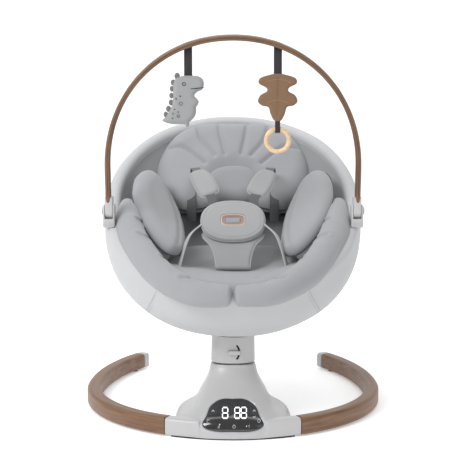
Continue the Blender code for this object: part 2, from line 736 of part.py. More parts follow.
# The seat's back is level with the ring's radius, so that the footprint is centred on the origin
HOOP_CENTRE = Vector((0, BASE_RADIUS - back_reach(), HOOP_HEIGHT))
recline_axis = frame_at("recline_axis", RECLINE - PIVOT, sway_axis)
seat_frame = frame_at("seat_frame", HOOP_CENTRE - RECLINE, recline_axis, (HOOP_SLOPE, 0, 0))


def seat_part(name, mesh, material):
    """A piece of the seat, drawn in hoop coordinates."""
    return add(name, mesh, material, seat_frame, world=False)


def seat_guide(part, operation, mesh):
    """A Boolean on a seat piece with a guide drawn in hoop coordinates."""
    guide = boolean(part, operation, mesh)
    guide.parent = seat_frame
    return guide


def world_guide_matrix():
    """The matrix that brings a world point into hoop coordinates."""
    return seat_frame.matrix_world.inverted()


# Sling: the outer wall rises from the bottom, rolls over the hoop tube and ends inside it
def sling_profile(angle):
    """The sling's section at one angle, from near the bottom's middle to the inner lip."""
    falls = np.linspace(math.pi / 2, 0.0, 10)[1:]
    section = [bowl_point(angle, fall) for fall in falls]
    for k in range(1, 5):
        roll = math.pi * k / 4
        inset = RIM_ROLL * (1 - math.cos(roll))
        section.append(bowl_point(angle, 0, inset) + Vector((0, 0, RIM_ROLL * math.sin(roll))))
    section.append(bowl_point(angle, 0, 2 * RIM_ROLL) + Vector((0, 0, -RIM_LIP)))
    return section


def sling_mesh(count=36):
    """The sling's outer face."""
    def build(bm):
        sections = [sling_profile(2 * math.pi * k / count) for k in range(count)]
        columns = [[bm.verts.new(p) for p in section] for section in sections]
        middle = bm.verts.new(bowl_point(0, math.pi / 2))
        for k, column in enumerate(columns):
            after = columns[(k + 1) % count]
            bm.faces.new((middle, after[0], column[0]))
            for i in range(len(column) - 1):
                bm.faces.new((column[i], after[i], after[i + 1], column[i + 1]))
        bm.normal_update()

    return mesh_from("sling_cover", build)


sling = seat_part("sling_cover", sling_mesh(), COVER)
thicken(sling, FABRIC, outward=False)

# Hoop: one oval tube that carries the sling and the side brackets
hoop_points = [bowl_point(2 * math.pi * k / 36, 0, RIM_ROLL) for k in range(36)]
seat_part("hoop_tube", tube_mesh("hoop_tube", hoop_points, HOOP_TUBE_RADIUS, 2, closed=True), STEEL)


# ---------------------------------------------------------------- side brackets and toy bar hinge
FOOT_DEPTH = 0.029
FOOT_INNER_X = 0.2363
FOOT_OUTER_X = 0.2516
FOOT_TOP_Z = 0.4296
FOOT_ROUND = FOOT_DEPTH / 2
SOCKET_TOP_Z = BAR_PIVOT_Z - FOOT_ROUND - 0.0006
SOCKET_LOW_Z = SOCKET_TOP_Z - 0.0172
EAR_THICKNESS = 0.0035
EAR_HIGH_Z = BAR_PIVOT_Z + 0.0125
BUTTON_RADIUS = 0.0075
BUTTON_PROUD = 0.003
PIVOT_PIN_RADIUS = 0.003
bar_axis = frame_at("bar_axis", world_guide_matrix() @ Vector((0, BAR_PIVOT_Y, BAR_PIVOT_Z)), seat_frame,
                    (-HOOP_SLOPE, 0, 0))


def side_box(name, side, low, high):
    """A box given for the right side, or its mirror image."""
    xs = sorted((side * low[0], side * high[0]))
    return box_mesh(name, (xs[0], low[1], low[2]), (xs[1], high[1], high[2]))


def side_rod(name, side, x0, x1, radius, sides=24):
    """A rod along X at the toy bar's hinge."""
    return rod_mesh(name, (side * x0, BAR_PIVOT_Y, BAR_PIVOT_Z), (side * x1, BAR_PIVOT_Y, BAR_PIVOT_Z),
                    radius, sides)


ear_outer_x = FOOT_OUTER_X + GAP * 2 + EAR_THICKNESS
ear_inner_x = FOOT_INNER_X - GAP * 2 - EAR_THICKNESS
for side_name, side in SIDES:
    holder = add(side_name + "_side_bracket",
                 side_box("bracket", side, (ear_inner_x, BAR_PIVOT_Y - FOOT_ROUND, SOCKET_LOW_Z),
                          (ear_outer_x, BAR_PIVOT_Y + FOOT_ROUND, EAR_HIGH_Z)), SHELL, seat_frame)
    boolean(holder, "DIFFERENCE",
            side_box("clevis", side, (FOOT_INNER_X - GAP * 2, -REACH, SOCKET_TOP_Z),
                     (FOOT_OUTER_X + GAP * 2, REACH, REACH)))
    seat_guide(holder, "DIFFERENCE", tube_mesh("saddle", hoop_points, HOOP_TUBE_RADIUS + GAP, 2, closed=True))
    boolean(holder, "DIFFERENCE", side_rod("button_hole", side, FOOT_OUTER_X, ear_outer_x + 0.01,
                                           BUTTON_RADIUS + GAP))
    boolean(holder, "UNION", side_rod("hinge_pin", side, ear_inner_x + 0.001, FOOT_OUTER_X - 0.0065,
                                      PIVOT_PIN_RADIUS, 16))
    add(side_name + "_release_button",
        side_rod("release_button", side, FOOT_OUTER_X - 0.001, ear_outer_x + BUTTON_PROUD, BUTTON_RADIUS),
        SHELL, seat_frame)
    notch_low = (ear_inner_x - 0.0006, BAR_PIVOT_Y - FOOT_ROUND - 0.0008, SOCKET_LOW_Z - 0.0006)
    notch_high = (ear_outer_x + 0.03, BAR_PIVOT_Y + FOOT_ROUND + 0.0008, EAR_HIGH_Z + 0.02)
    boolean(sling, "DIFFERENCE", side_box("bracket_notch", side, notch_low, notch_high))


def bar_arch(name, inset=BAR_THICKNESS / 2, leg_start=0.0, grow=0.0):
    """The bar along its arch: straight legs and a full round top."""
    half_width = BAR_HALF_WIDTH - inset
    right = [(half_width, leg_start), (half_width, (BAR_LEG + leg_start) / 2)]
    for angle in np.linspace(0, math.pi / 2, 14):
        right.append((half_width * math.cos(angle) ** (2 / 2.08),
                      BAR_LEG + (BAR_RISE - inset) * math.sin(angle) ** (2 / 2.08)))
    left = [(-x, y) for x, y in reversed(right[:-1])]
    mesh = rail_mesh(name, right + left, rounded_section(BAR_THICKNESS + grow, BAR_DEPTH + grow, 0.0035))
    mesh.transform(Matrix.Rotation(math.pi / 2 + BAR_LEAN, 4, "X"))
    mesh.transform(Matrix.Translation((0, BAR_PIVOT_Y, BAR_PIVOT_Z)))
    return mesh


BAR_POCKET = 0.014
leg_start = FOOT_TOP_Z - BAR_PIVOT_Z - BAR_POCKET
bar = add("toy_bar", bar_arch("toy_bar", leg_start=leg_start), WOOD, bar_axis)
for side_name, side in SIDES:
    foot = add(side_name + "_bar_foot",
               side_box("bar_foot", side, (FOOT_INNER_X, BAR_PIVOT_Y - FOOT_ROUND, BAR_PIVOT_Z),
                        (FOOT_OUTER_X, BAR_PIVOT_Y + FOOT_ROUND, FOOT_TOP_Z)), SHELL, bar_axis)
    boolean(foot, "UNION", side_rod("foot_round", side, FOOT_INNER_X, FOOT_OUTER_X, FOOT_ROUND, 32))
    boolean(foot, "DIFFERENCE", side_rod("foot_bore", side, FOOT_INNER_X - 0.01, FOOT_OUTER_X - 0.006,
                                         PIVOT_PIN_RADIUS + RUNNING, 16))
    boolean(foot, "DIFFERENCE", side_rod("button_pocket", side, FOOT_OUTER_X - 0.0045, FOOT_OUTER_X + 0.01,
                                         BUTTON_RADIUS + 2 * GAP))
    boolean(foot, "DIFFERENCE", bar_arch("bar_pocket", leg_start=leg_start - GAP, grow=2 * GAP))


# ---------------------------------------------------------------- hanging toys
def bar_middle(x):
    """The height and depth of the bar's middle line over a place across it."""
    half_width = BAR_HALF_WIDTH - BAR_THICKNESS / 2
    share = 1 - (abs(x) / half_width) ** 2.08
    along = BAR_LEG + (BAR_RISE - BAR_THICKNESS / 2) * share ** (1 / 2.08)
    return (BAR_PIVOT_Y - along * math.sin(BAR_LEAN), BAR_PIVOT_Z + along * math.cos(BAR_LEAN))


HANGER_Y, HANGER_Z = bar_middle(TOY_X)
SLOT_DEPTH = 0.0074
LOOP_RADIUS = TOY_PIN_RADIUS + RUNNING + STRAP_THICKNESS
TOY_TOP_Z = 0.672
bar_frame = Matrix.Translation((0, HANGER_Y, HANGER_Z)) @ Matrix.Rotation(BAR_LEAN, 4, "X")


def centred_box(name, x, low, high):
    """A box with its X given from a place across the bar and its Y from the hangers' depth."""
    return box_mesh(name, (x + low[0], HANGER_Y + low[1], low[2]), (x + high[0], HANGER_Y + high[1], high[2]))


def hanger(name, x, bottom, parent):
    """A strap that loops round its pin and hangs down."""
    half = STRAP_WIDTH / 2
    strap = add(name, rod_mesh(name, (x - half, HANGER_Y, HANGER_Z), (x + half, HANGER_Y, HANGER_Z),
                               LOOP_RADIUS, 16), WEBBING, parent)
    boolean(strap, "UNION", centred_box("strap_tail", x, (-half, -STRAP_THICKNESS / 2, bottom),
                                        (half, STRAP_THICKNESS / 2, HANGER_Z - LOOP_RADIUS * 0.6)))
    boolean(strap, "DIFFERENCE", rod_mesh("strap_eye", (x - 0.02, HANGER_Y, HANGER_Z),
                                          (x + 0.02, HANGER_Y, HANGER_Z), TOY_PIN_RADIUS + RUNNING, 16))
    return strap


for side_name, side in SIDES:
    slot_mesh = box_mesh("bar_slot", (side * TOY_X - STRAP_WIDTH / 2 - 0.001, -SLOT_DEPTH / 2, -0.03),
                         (side * TOY_X + STRAP_WIDTH / 2 + 0.001, SLOT_DEPTH / 2, 0.03))
    slot_mesh.transform(bar_frame)
    boolean(bar, "DIFFERENCE", slot_mesh)
    pin_reach = STRAP_WIDTH / 2 + 0.003
    boolean(bar, "UNION", rod_mesh("toy_pin", (side * TOY_X - pin_reach, HANGER_Y, HANGER_Z),
                                   (side * TOY_X + pin_reach, HANGER_Y, HANGER_Z), TOY_PIN_RADIUS, 12))

bar_world = bar_axis.matrix_world.inverted()
dino_axis = frame_at("dino_axis", bar_world @ Vector((-TOY_X, HANGER_Y, HANGER_Z)), bar_axis)
leaf_axis = frame_at("leaf_axis", bar_world @ Vector((TOY_X, HANGER_Y, HANGER_Z)), bar_axis)
hanger("dino_strap", -TOY_X, TOY_TOP_Z + GAP, dino_axis)
hanger("leaf_strap", TOY_X, TOY_TOP_Z + GAP, leaf_axis)

# Toy outlines are in millimetres from the toy's top middle, X right and Y up
DINO_OUTLINE = ((-12, -1), (2, 2), (20, 0), (31, -6), (31, -13), (20, -19), (12, -24), (15, -34), (18, -46),
                (15, -62), (8, -76), (4, -80), (-8, -84), (-28, -84), (-49, -79), (-38, -70), (-31, -58),
                (-28, -40), (-27, -22), (-23, -8))
LEAF_OUTLINE = ((0, 0), (18, -3), (34, -9), (36, -19), (22, -27), (21, -34), (33, -41), (38, -53), (30, -61),
                (18, -64), (14, -76), (8, -88), (0, -92))
TOY_THICKNESS = 0.016
LEAF_THICKNESS = 0.010
RING_OUTER = 0.0262
RING_INNER = 0.0172


def toy_mesh(name, points, x, thickness):
    """A flat sewn toy cut to an outline."""
    outline = [(x + px / 1000, py / 1000) for px, py in points]
    mesh = extrude_mesh(name, outline, thickness)
    mesh.transform(Matrix.Rotation(math.pi / 2, 4, "X"))
    mesh.transform(Matrix.Translation((0, HANGER_Y, TOY_TOP_Z - 0.002)))
    return mesh


leaf_half = list(LEAF_OUTLINE)
leaf_whole = leaf_half + [(-px, py) for px, py in reversed(leaf_half[1:-1])]
add("dino_toy", toy_mesh("dino_toy", DINO_OUTLINE, -TOY_X, TOY_THICKNESS), PLUSH, dino_axis)
add("leaf_toy", toy_mesh("leaf_toy", leaf_whole, TOY_X, LEAF_THICKNESS), LEAF_FELT, leaf_axis)

LEAF_LOW_Z = TOY_TOP_Z - 0.002 - 0.092
RING_Z = 0.5425
ring_axis = frame_at("ring_axis", leaf_axis.matrix_world.inverted() @ Vector((TOY_X, HANGER_Y, LEAF_LOW_Z)),
                     leaf_axis)
ring_top = RING_Z + RING_OUTER
add("ring_strap", centred_box("ring_strap", TOY_X, (-0.0047, -0.001, ring_top + GAP),
                              (0.0047, 0.001, LEAF_LOW_Z - 0.0012)), WEBBING, ring_axis)


def ring_mesh():
    """A turned ring: its section swept round, from the top of its outer side down."""
    def build(bm):
        bmesh.ops.create_circle(bm, radius=(RING_OUTER - RING_INNER) / 2, segments=8, cap_ends=False)
        for vert in bm.verts:
            vert.co = Vector(((RING_OUTER + RING_INNER) / 2 + vert.co.x, 0, vert.co.y))
        geometry = bm.verts[:] + bm.edges[:]
        bmesh.ops.spin(bm, geom=geometry, cent=(0, 0, 0), axis=(0, 0, 1), angle=2 * math.pi, steps=26,
                       use_merge=True)
        bmesh.ops.remove_doubles(bm, verts=bm.verts[:], dist=1e-5)
        bmesh.ops.recalc_face_normals(bm, faces=bm.faces[:])

    mesh = mesh_from("wooden_ring", build)
    mesh.transform(Matrix.Rotation(math.pi / 2, 4, "X"))
    mesh.transform(Matrix.Translation((TOY_X, HANGER_Y, RING_Z)))
    return mesh


add("wooden_ring", ring_mesh(), BEECH, ring_axis)


# ---------------------------------------------------------------- neck and seat mount
def bowl_mesh(name, grow, count=36):
    """The bowl's outside as a closed body, grown outwards, in hoop coordinates."""
    falls = np.linspace(math.pi / 2, 0.0, 10)[1:]
    rings = [[bowl_point(2 * math.pi * k / count, fall, -grow) for k in range(count)] for fall in falls]
    rings.append([point + Vector((0, 0, 0.05)) for point in rings[-1]])
    return loft_mesh(name, rings)


def neck_form(name, inset=0.0, extra=0.0):
    """The neck's closed outer form, or its inside with an inset."""
    low = PILLAR_TOP + NECK_GAP - extra
    return loft_mesh(name, [pillar_ring(PILLAR_TOP, inset, lambda x: low),
                            pillar_ring(PILLAR_TOP, inset + 0.0015, lambda x: NECK_LIMIT + extra)])


NECK_LIMIT = 0.215
NECK_TO_BOWL = 0.004
NECK_TO_MOUNT = 0.007
MOUNT_PLATE = 0.004
COVER_GAP = 0.0005

LEVER_X = -0.0066
LEVER_Z = 0.140
LEVER_ARC = 0.0189
LEVER_SWING = math.radians(42)
LEVER_HALF_HEIGHT = 0.004
LEVER_STUB = 0.003
LEVER_PIN = 0.001
neck_front = -PILLAR_TOP_FRONT


def arc_slot(name):
    """The curved slot that the lever's pin runs in."""
    half_width = LEVER_PIN + 0.0007
    sweep = np.linspace(-LEVER_SWING - 0.07, LEVER_SWING + 0.07, 9)
    outline = [((LEVER_ARC + half_width) * math.cos(a), (LEVER_ARC + half_width) * math.sin(a)) for a in sweep]
    outline += [((LEVER_ARC - half_width) * math.cos(a), (LEVER_ARC - half_width) * math.sin(a))
                for a in reversed(sweep)]
    mesh = extrude_mesh(name, outline, 0.02)
    mesh.transform(Matrix.Rotation(math.pi / 2, 4, "X"))
    mesh.transform(Matrix.Translation((LEVER_X, neck_front, LEVER_Z)))
    return mesh


recline_turn = (Matrix.Translation(RECLINE) @ Matrix.Rotation(-RECLINE_TRAVEL, 4, "X")
                @ Matrix.Translation(-RECLINE))
for place, front in (("front", True), ("rear", False)):
    cover = add(f"neck_{place}_cover", neck_form("neck"), SHELL, sway_axis)
    boolean(cover, "DIFFERENCE", neck_form("neck_inside", HOUSING_WALL, 0.03))
    boolean(cover, "DIFFERENCE", half_space("neck_half", not front, -GAP / 2))
    seat_guide(cover, "DIFFERENCE", bowl_mesh("seat_room", NECK_TO_BOWL))
    if front:
        boolean(cover, "DIFFERENCE", rod_mesh("stub_hole", (LEVER_X, neck_front - 0.01, LEVER_Z),
                                              (LEVER_X, neck_front + 0.01, LEVER_Z), LEVER_STUB + GAP, 16))
        boolean(cover, "DIFFERENCE", arc_slot("arc_slot"))
    else:
        lowered = bowl_mesh("reclined_room", NECK_TO_MOUNT)
        lowered.transform(recline_turn @ seat_frame.matrix_world)
        boolean(cover, "DIFFERENCE", lowered)

lever_axis = frame_at("lever_axis", Vector((LEVER_X, neck_front, LEVER_Z)) - PIVOT, sway_axis)
lever = add("recline_lever", box_mesh("lever", (LEVER_X, neck_front - 0.0065, LEVER_Z - LEVER_HALF_HEIGHT),
                                      (LEVER_X + LEVER_ARC + 0.0015, neck_front - 0.001,
                                       LEVER_Z + LEVER_HALF_HEIGHT)), SHELL, lever_axis)
boolean(lever, "UNION", rod_mesh("lever_stub", (LEVER_X, neck_front - 0.0055, LEVER_Z),
                                 (LEVER_X, neck_front + 0.008, LEVER_Z), LEVER_STUB, 16))
boolean(lever, "UNION", rod_mesh("lever_pin", (LEVER_X + LEVER_ARC, neck_front - 0.004, LEVER_Z),
                                 (LEVER_X + LEVER_ARC, neck_front + 0.006, LEVER_Z), LEVER_PIN, 10))

LUG_REACH = 0.009
mount = add("seat_mount", box_mesh("seat_mount", (-0.029, SWAY_AXIS_Y - 0.023, RECLINE_AXIS_Z - 0.02),
                                   (0.029, SWAY_AXIS_Y + 0.045, NECK_LIMIT)), STEEL, recline_axis)
seat_guide(mount, "INTERSECT", bowl_mesh("mount_outside", COVER_GAP + MOUNT_PLATE))
for side_name, side in SIDES:
    boolean(mount, "UNION",
            side_box("lug", side, (LUG_INNER, SWAY_AXIS_Y - LUG_REACH, RECLINE_AXIS_Z - LUG_REACH),
                     (LUG_INNER + LUG_THICKNESS, SWAY_AXIS_Y + LUG_REACH, NECK_LIMIT)))
seat_guide(mount, "DIFFERENCE", bowl_mesh("mount_inside", COVER_GAP))
boolean(mount, "DIFFERENCE", rod_mesh("lug_bore", (-0.05, SWAY_AXIS_Y, RECLINE_AXIS_Z),
                                      (0.05, SWAY_AXIS_Y, RECLINE_AXIS_Z), RECLINE_PIN_RADIUS + RUNNING, 20))


# ---------------------------------------------------------------- cradle and seat plate
CRADLE_RADIUS = 0.005
CRADLE_INSET = FABRIC + CRADLE_RADIUS + 0.0025
PLATE_INSET = CRADLE_INSET + CRADLE_RADIUS + 0.0020
SEAT_PLATE_THICKNESS = 0.005
PAD_INSET = PLATE_INSET + SEAT_PLATE_THICKNESS + PAD_GAP

for side_name, side in SIDES:
    front_angle = math.radians(-90 + side * 24)
    back_angle = math.radians(90 - side * 24)
    falls = np.linspace(0.02, 1.15, 9)
    front_run = [bowl_point(front_angle, fall, CRADLE_INSET) for fall in falls]
    back_run = [bowl_point(back_angle, fall, CRADLE_INSET) for fall in reversed(falls)]
    floor_run = [front_run[-1].lerp(back_run[0], share) for share in np.linspace(0, 1, 8)[1:-1]]
    route = front_run + [bowl_floor(spot.x, spot.y, CRADLE_INSET) for spot in floor_run] + back_run
    rim_low = -HOOP_TUBE_RADIUS - GAP
    route[0].z = route[-1].z = rim_low
    seat_part(side_name + "_cradle_tube", tube_mesh("cradle_tube", route, CRADLE_RADIUS, 1), STEEL)

SEAT_PLATE_OUTLINE = oval((0, -0.060), 0.085, 0.120, count=24)
plate = seat_part("seat_plate", patch_mesh("seat_plate", SEAT_PLATE_OUTLINE,
                                           lambda x, y: bowl_floor(x, y, PLATE_INSET), (0, 0, 1), 4), NYLON)
thicken(plate, SEAT_PLATE_THICKNESS)


# ---------------------------------------------------------------- cushions
PAD_THICKNESS = 0.028
seat_pad = seat_part("seat_pad", patch_mesh("seat_pad", oval((0, -0.112), 0.100, 0.092),
                                            lambda x, y: bowl_floor(x, y, PAD_INSET), (0, 0, 1), 4), CUSHION)
thicken(seat_pad, PAD_THICKNESS)
back_pad = seat_part("back_pad", patch_mesh("back_pad", oval((0, 0.065), 0.100, 0.078),
                                            lambda x, y: bowl_floor(x, y, PAD_INSET), (0, 0, 1), 4), CUSHION)
thicken(back_pad, PAD_THICKNESS)

HEAD_CENTRE = 0.184
HEAD_LENGTH = 0.100
HEAD_WIDTH = 0.163
HEAD_LOW = -0.098
HEAD_THICKNESS = 0.045


def head_bed(x, y):
    """The face that the head cushion lies on, rising towards the rim."""
    return Vector((x, y, HEAD_LOW + 1.9 * (y - HEAD_CENTRE + HEAD_LENGTH) ** 2))


def prism_mesh(name, outline, low, high):
    """An upright prism over a plane outline."""
    return loft_mesh(name, [[(x, y, low) for x, y in outline], [(x, y, high) for x, y in outline]])


head = seat_part("head_cushion", patch_mesh("head_cushion", oval((0, HEAD_CENTRE), HEAD_WIDTH, HEAD_LENGTH,
                                                                 2.3, 28), head_bed, (0, 0, 1), 3), CUSHION)
thicken(head, HEAD_THICKNESS)
seat_guide(head, "DIFFERENCE", prism_mesh("pillow_room", oval((0, 0.118), 0.060, 0.090), -0.2, 0.2))
pillow = seat_part("head_pillow", patch_mesh("head_pillow", oval((0, 0.136), 0.055, 0.068),
                                             head_bed, (0, 0, 1), 4), CUSHION)
thicken(pillow, 0.032)

BOLSTER_RADIUS = 0.026
BOLSTER_INSET = 0.055
WING_INSET = 0.083
for side_name, side in SIDES:
    turns = np.linspace(math.radians(-90 + side * 3.2), math.radians(-90 + side * 108), 14)
    path = []
    widths = []
    for k, turn in enumerate(turns):
        share = k / (len(turns) - 1)
        taper = 1 - 0.34 * share
        path.append(bowl_point(turn, 0, BOLSTER_INSET - BOLSTER_RADIUS * (1 - taper))
                    + Vector((0, 0, -0.018)))
        widths.append(taper * (0.75 if k in (0, len(turns) - 1) else 1.0))
    seat_part(side_name + "_bolster", tube_mesh("bolster", path, BOLSTER_RADIUS, 2, widths), CUSHION)

    wing_middle = math.radians(-90 + side * 88)
    outline = oval((0, 0), math.radians(40), 0.50, 2.2, 24)
    wing = seat_part(side_name + "_wing_cushion",
                     patch_mesh("wing", outline,
                                lambda a, f: bowl_point(wing_middle + a, 0.56 + f, WING_INSET),
                                (-side, 0, 0.6), 4), CUSHION)
    thicken(wing, 0.024)
    seat_guide(wing, "DIFFERENCE", prism_mesh("head_room", oval((0, HEAD_CENTRE), HEAD_WIDTH + 0.004,
                                                                HEAD_LENGTH + 0.020, 2.3, 36), -0.5, 0.5))


# ---------------------------------------------------------------- harness
def slab_mesh(name, start, end, width, thickness, across=(1, 0, 0)):
    """A flat strap between two points; across is its width direction."""
    start, end, across = Vector(start), Vector(end), Vector(across)
    along = end - start
    normal = across.cross(along).normalized()
    across = along.cross(normal).normalized()
    turn = Matrix((across, along.normalized(), normal)).transposed().to_4x4()
    matrix = (Matrix.Translation((start + end) / 2) @ turn
              @ Matrix.Diagonal((width, along.length, thickness, 1.0)))
    return mesh_from(name, lambda bm: bmesh.ops.create_cube(bm, size=1.0, matrix=matrix))


BUCKLE_HALF_WIDTH = 0.065
BUCKLE_HALF_HEIGHT = 0.047
BUCKLE_THICKNESS = 0.014
BUCKLE_TILT = math.radians(55)
BUCKLE_PLACE = Matrix.Translation((0, -0.060, 0.378)) @ Matrix.Rotation(BUCKLE_TILT, 4, "X")
BUCKLE_OPENING = (0.0245, 0.0135)
BUTTON_OPENING = (0.0150, 0.0070)


def buckle_mesh(name, outline, low, high):
    """A prism in the buckle's own frame, brought to its place in the world."""
    mesh = prism_mesh(name, outline, low, high)
    mesh.transform(BUCKLE_PLACE)
    return mesh


def opening_outline(size, by=0.0):
    """The outline of the buckle's opening or of its button, moved in or out."""
    return oval((0, 0), size[0] + by, size[1] + by, 3.2, 20)


half = BUCKLE_THICKNESS / 2
buckle_cover = add("buckle_cover", buckle_mesh("buckle_cover", oval((0, 0), BUCKLE_HALF_WIDTH,
                                                                    BUCKLE_HALF_HEIGHT, 2.3, 32),
                                               -half, half), CUSHION, seat_frame)
boolean(buckle_cover, "DIFFERENCE", buckle_mesh("buckle_opening", opening_outline(BUCKLE_OPENING, GAP), -0.05, 0.05))
buckle = add("buckle_body", buckle_mesh("buckle_body", opening_outline(BUCKLE_OPENING), -half, half - 0.002),
             BUCKLE, seat_frame)
boolean(buckle, "DIFFERENCE", buckle_mesh("button_pocket", opening_outline(BUTTON_OPENING, RUNNING),
                                          -half + 0.003, 0.05))
BUTTON_TRAVEL = 0.003
add("buckle_button", buckle_mesh("buckle_button", opening_outline(BUTTON_OPENING),
                                 -half + 0.003 + BUTTON_TRAVEL + 0.001, half - 0.001), STRAP_GREY, seat_frame)


def in_hoop(point):
    """A world point in hoop coordinates."""
    return world_guide_matrix() @ Vector(point)


def buckle_point(x, y, z=0.0):
    """A point of the buckle's own frame in hoop coordinates."""
    return in_hoop(BUCKLE_PLACE @ Vector((x, y, z)))


CROTCH_WIDTH = 0.064
CROTCH_THICKNESS = 0.012
crotch_low = bowl_floor(0, -0.172, PAD_INSET, PAD_THICKNESS + 0.012)
seat_part("crotch_pad", slab_mesh("crotch_pad", buckle_point(0, -BUCKLE_HALF_HEIGHT - 0.004, -0.002),
                                  crotch_low, CROTCH_WIDTH, CROTCH_THICKNESS), CUSHION)
for side_name, side in SIDES:
    seat_part(side_name + "_waist_strap",
              slab_mesh("waist_strap", buckle_point(side * (BUCKLE_HALF_WIDTH + 0.002), -0.004),
                        (side * 0.104, -0.150, -0.072), 0.018, 0.0024, (0, -0.5, 1)), STRAP_GREY)
    seat_part(side_name + "_shoulder_pad",
              slab_mesh("shoulder_pad", in_hoop((side * 0.076, 0.058, 0.470)),
                        in_hoop((side * 0.046, -0.014, 0.426)), 0.038, 0.011), CUSHION)
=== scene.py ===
"""The baby swing's looks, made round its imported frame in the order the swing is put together."""
import math

import bmesh
import bpy
import numpy as np
from mathutils import Matrix, Vector, geometry, noise


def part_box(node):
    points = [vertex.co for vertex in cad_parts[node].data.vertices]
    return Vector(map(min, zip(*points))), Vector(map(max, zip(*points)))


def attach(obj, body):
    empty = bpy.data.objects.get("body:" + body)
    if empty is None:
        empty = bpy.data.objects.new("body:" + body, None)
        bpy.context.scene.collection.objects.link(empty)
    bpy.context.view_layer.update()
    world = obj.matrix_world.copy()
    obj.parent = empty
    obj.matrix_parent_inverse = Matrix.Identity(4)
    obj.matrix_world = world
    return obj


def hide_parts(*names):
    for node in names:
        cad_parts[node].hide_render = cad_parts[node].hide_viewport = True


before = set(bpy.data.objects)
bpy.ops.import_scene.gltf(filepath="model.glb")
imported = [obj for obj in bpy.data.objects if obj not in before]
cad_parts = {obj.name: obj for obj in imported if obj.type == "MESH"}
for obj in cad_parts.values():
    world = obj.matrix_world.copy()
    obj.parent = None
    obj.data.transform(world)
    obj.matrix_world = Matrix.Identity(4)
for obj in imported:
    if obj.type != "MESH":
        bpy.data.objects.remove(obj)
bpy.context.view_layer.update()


# ------------------------------------------------------------------ base ring
# Two arms of extruded tube with a printed walnut foil, bent to a ring that is open at the back.
# A grey cap closes each free end, and steel spigots inside the pod's shoulders hold the front ends.
def linear(value):
    """One sRGB channel, 0 to 255, as a shader takes it."""
    share = value / 255
    return share / 12.92 if share <= 0.04045 else ((share + 0.055) / 1.055) ** 2.4


def colour(red, green, blue):
    return (linear(red), linear(green), linear(blue), 1.0)


def shader_group(name, *inputs):
    """A shader node group that gives colour, roughness and normal; inputs are (label, kind, default)."""
    tree = bpy.data.node_groups.new(name, "ShaderNodeTree")
    for label, kind, default in inputs:
        socket = tree.interface.new_socket(label, in_out="INPUT", socket_type="NodeSocket" + kind)
        socket.default_value = default
    for label, kind in (("Color", "Color"), ("Roughness", "Float"), ("Normal", "Vector")):
        tree.interface.new_socket(label, in_out="OUTPUT", socket_type="NodeSocket" + kind)
    return tree, tree.nodes.new("NodeGroupInput").outputs, tree.nodes.new("NodeGroupOutput").inputs


def wire(tree, kind, settings=None, **sockets):
    """A node with its settings and inputs; an input is a value or another node's output."""
    node = tree.nodes.new("ShaderNode" + kind)
    for key, value in (settings or {}).items():
        setattr(node, key, value)
    for key, value in sockets.items():
        place = int(key[1:]) if key[0] == "i" and key[1:].isdigit() else key.replace("_", " ")
        if isinstance(value, bpy.types.NodeSocket):
            tree.links.new(value, node.inputs[place])
        else:
            node.inputs[place].default_value = value
    return node


def on_object(tree):
    """The place on the object, for a texture."""
    return tree.nodes.new("ShaderNodeTexCoord").outputs["Object"]


def maths(tree, operation, first, second=0.0, clamp=False):
    return wire(tree, "Math", {"operation": operation, "use_clamp": clamp}, i0=first, i1=second).outputs[0]


def blend_colours(tree, share, first, second, kind="MIX"):
    node = wire(tree, "Mix", {"data_type": "RGBA", "blend_type": kind}, i0=share, i6=first, i7=second)
    return node.outputs[2]


def principled(name, roughness, **values):
    """A new material; returns it with its tree and its shader."""
    material = bpy.data.materials.new(name)
    material.use_nodes = True
    shader = material.node_tree.nodes["Principled BSDF"]
    shader.inputs["Roughness"].default_value = roughness
    for key, value in values.items():
        shader.inputs[key.replace("_", " ")].default_value = value
    return material, material.node_tree, shader


def finished(made, skin, **inputs):
    """A material whose colour, roughness and normal come from a shader group."""
    material, tree, shader = made
    group = wire(tree, "Group", {"node_tree": skin}, **inputs)
    for output, socket in (("Color", "Base Color"), ("Roughness", "Roughness"), ("Normal", "Normal")):
        tree.links.new(group.outputs[output], shader.inputs[socket])
    return material


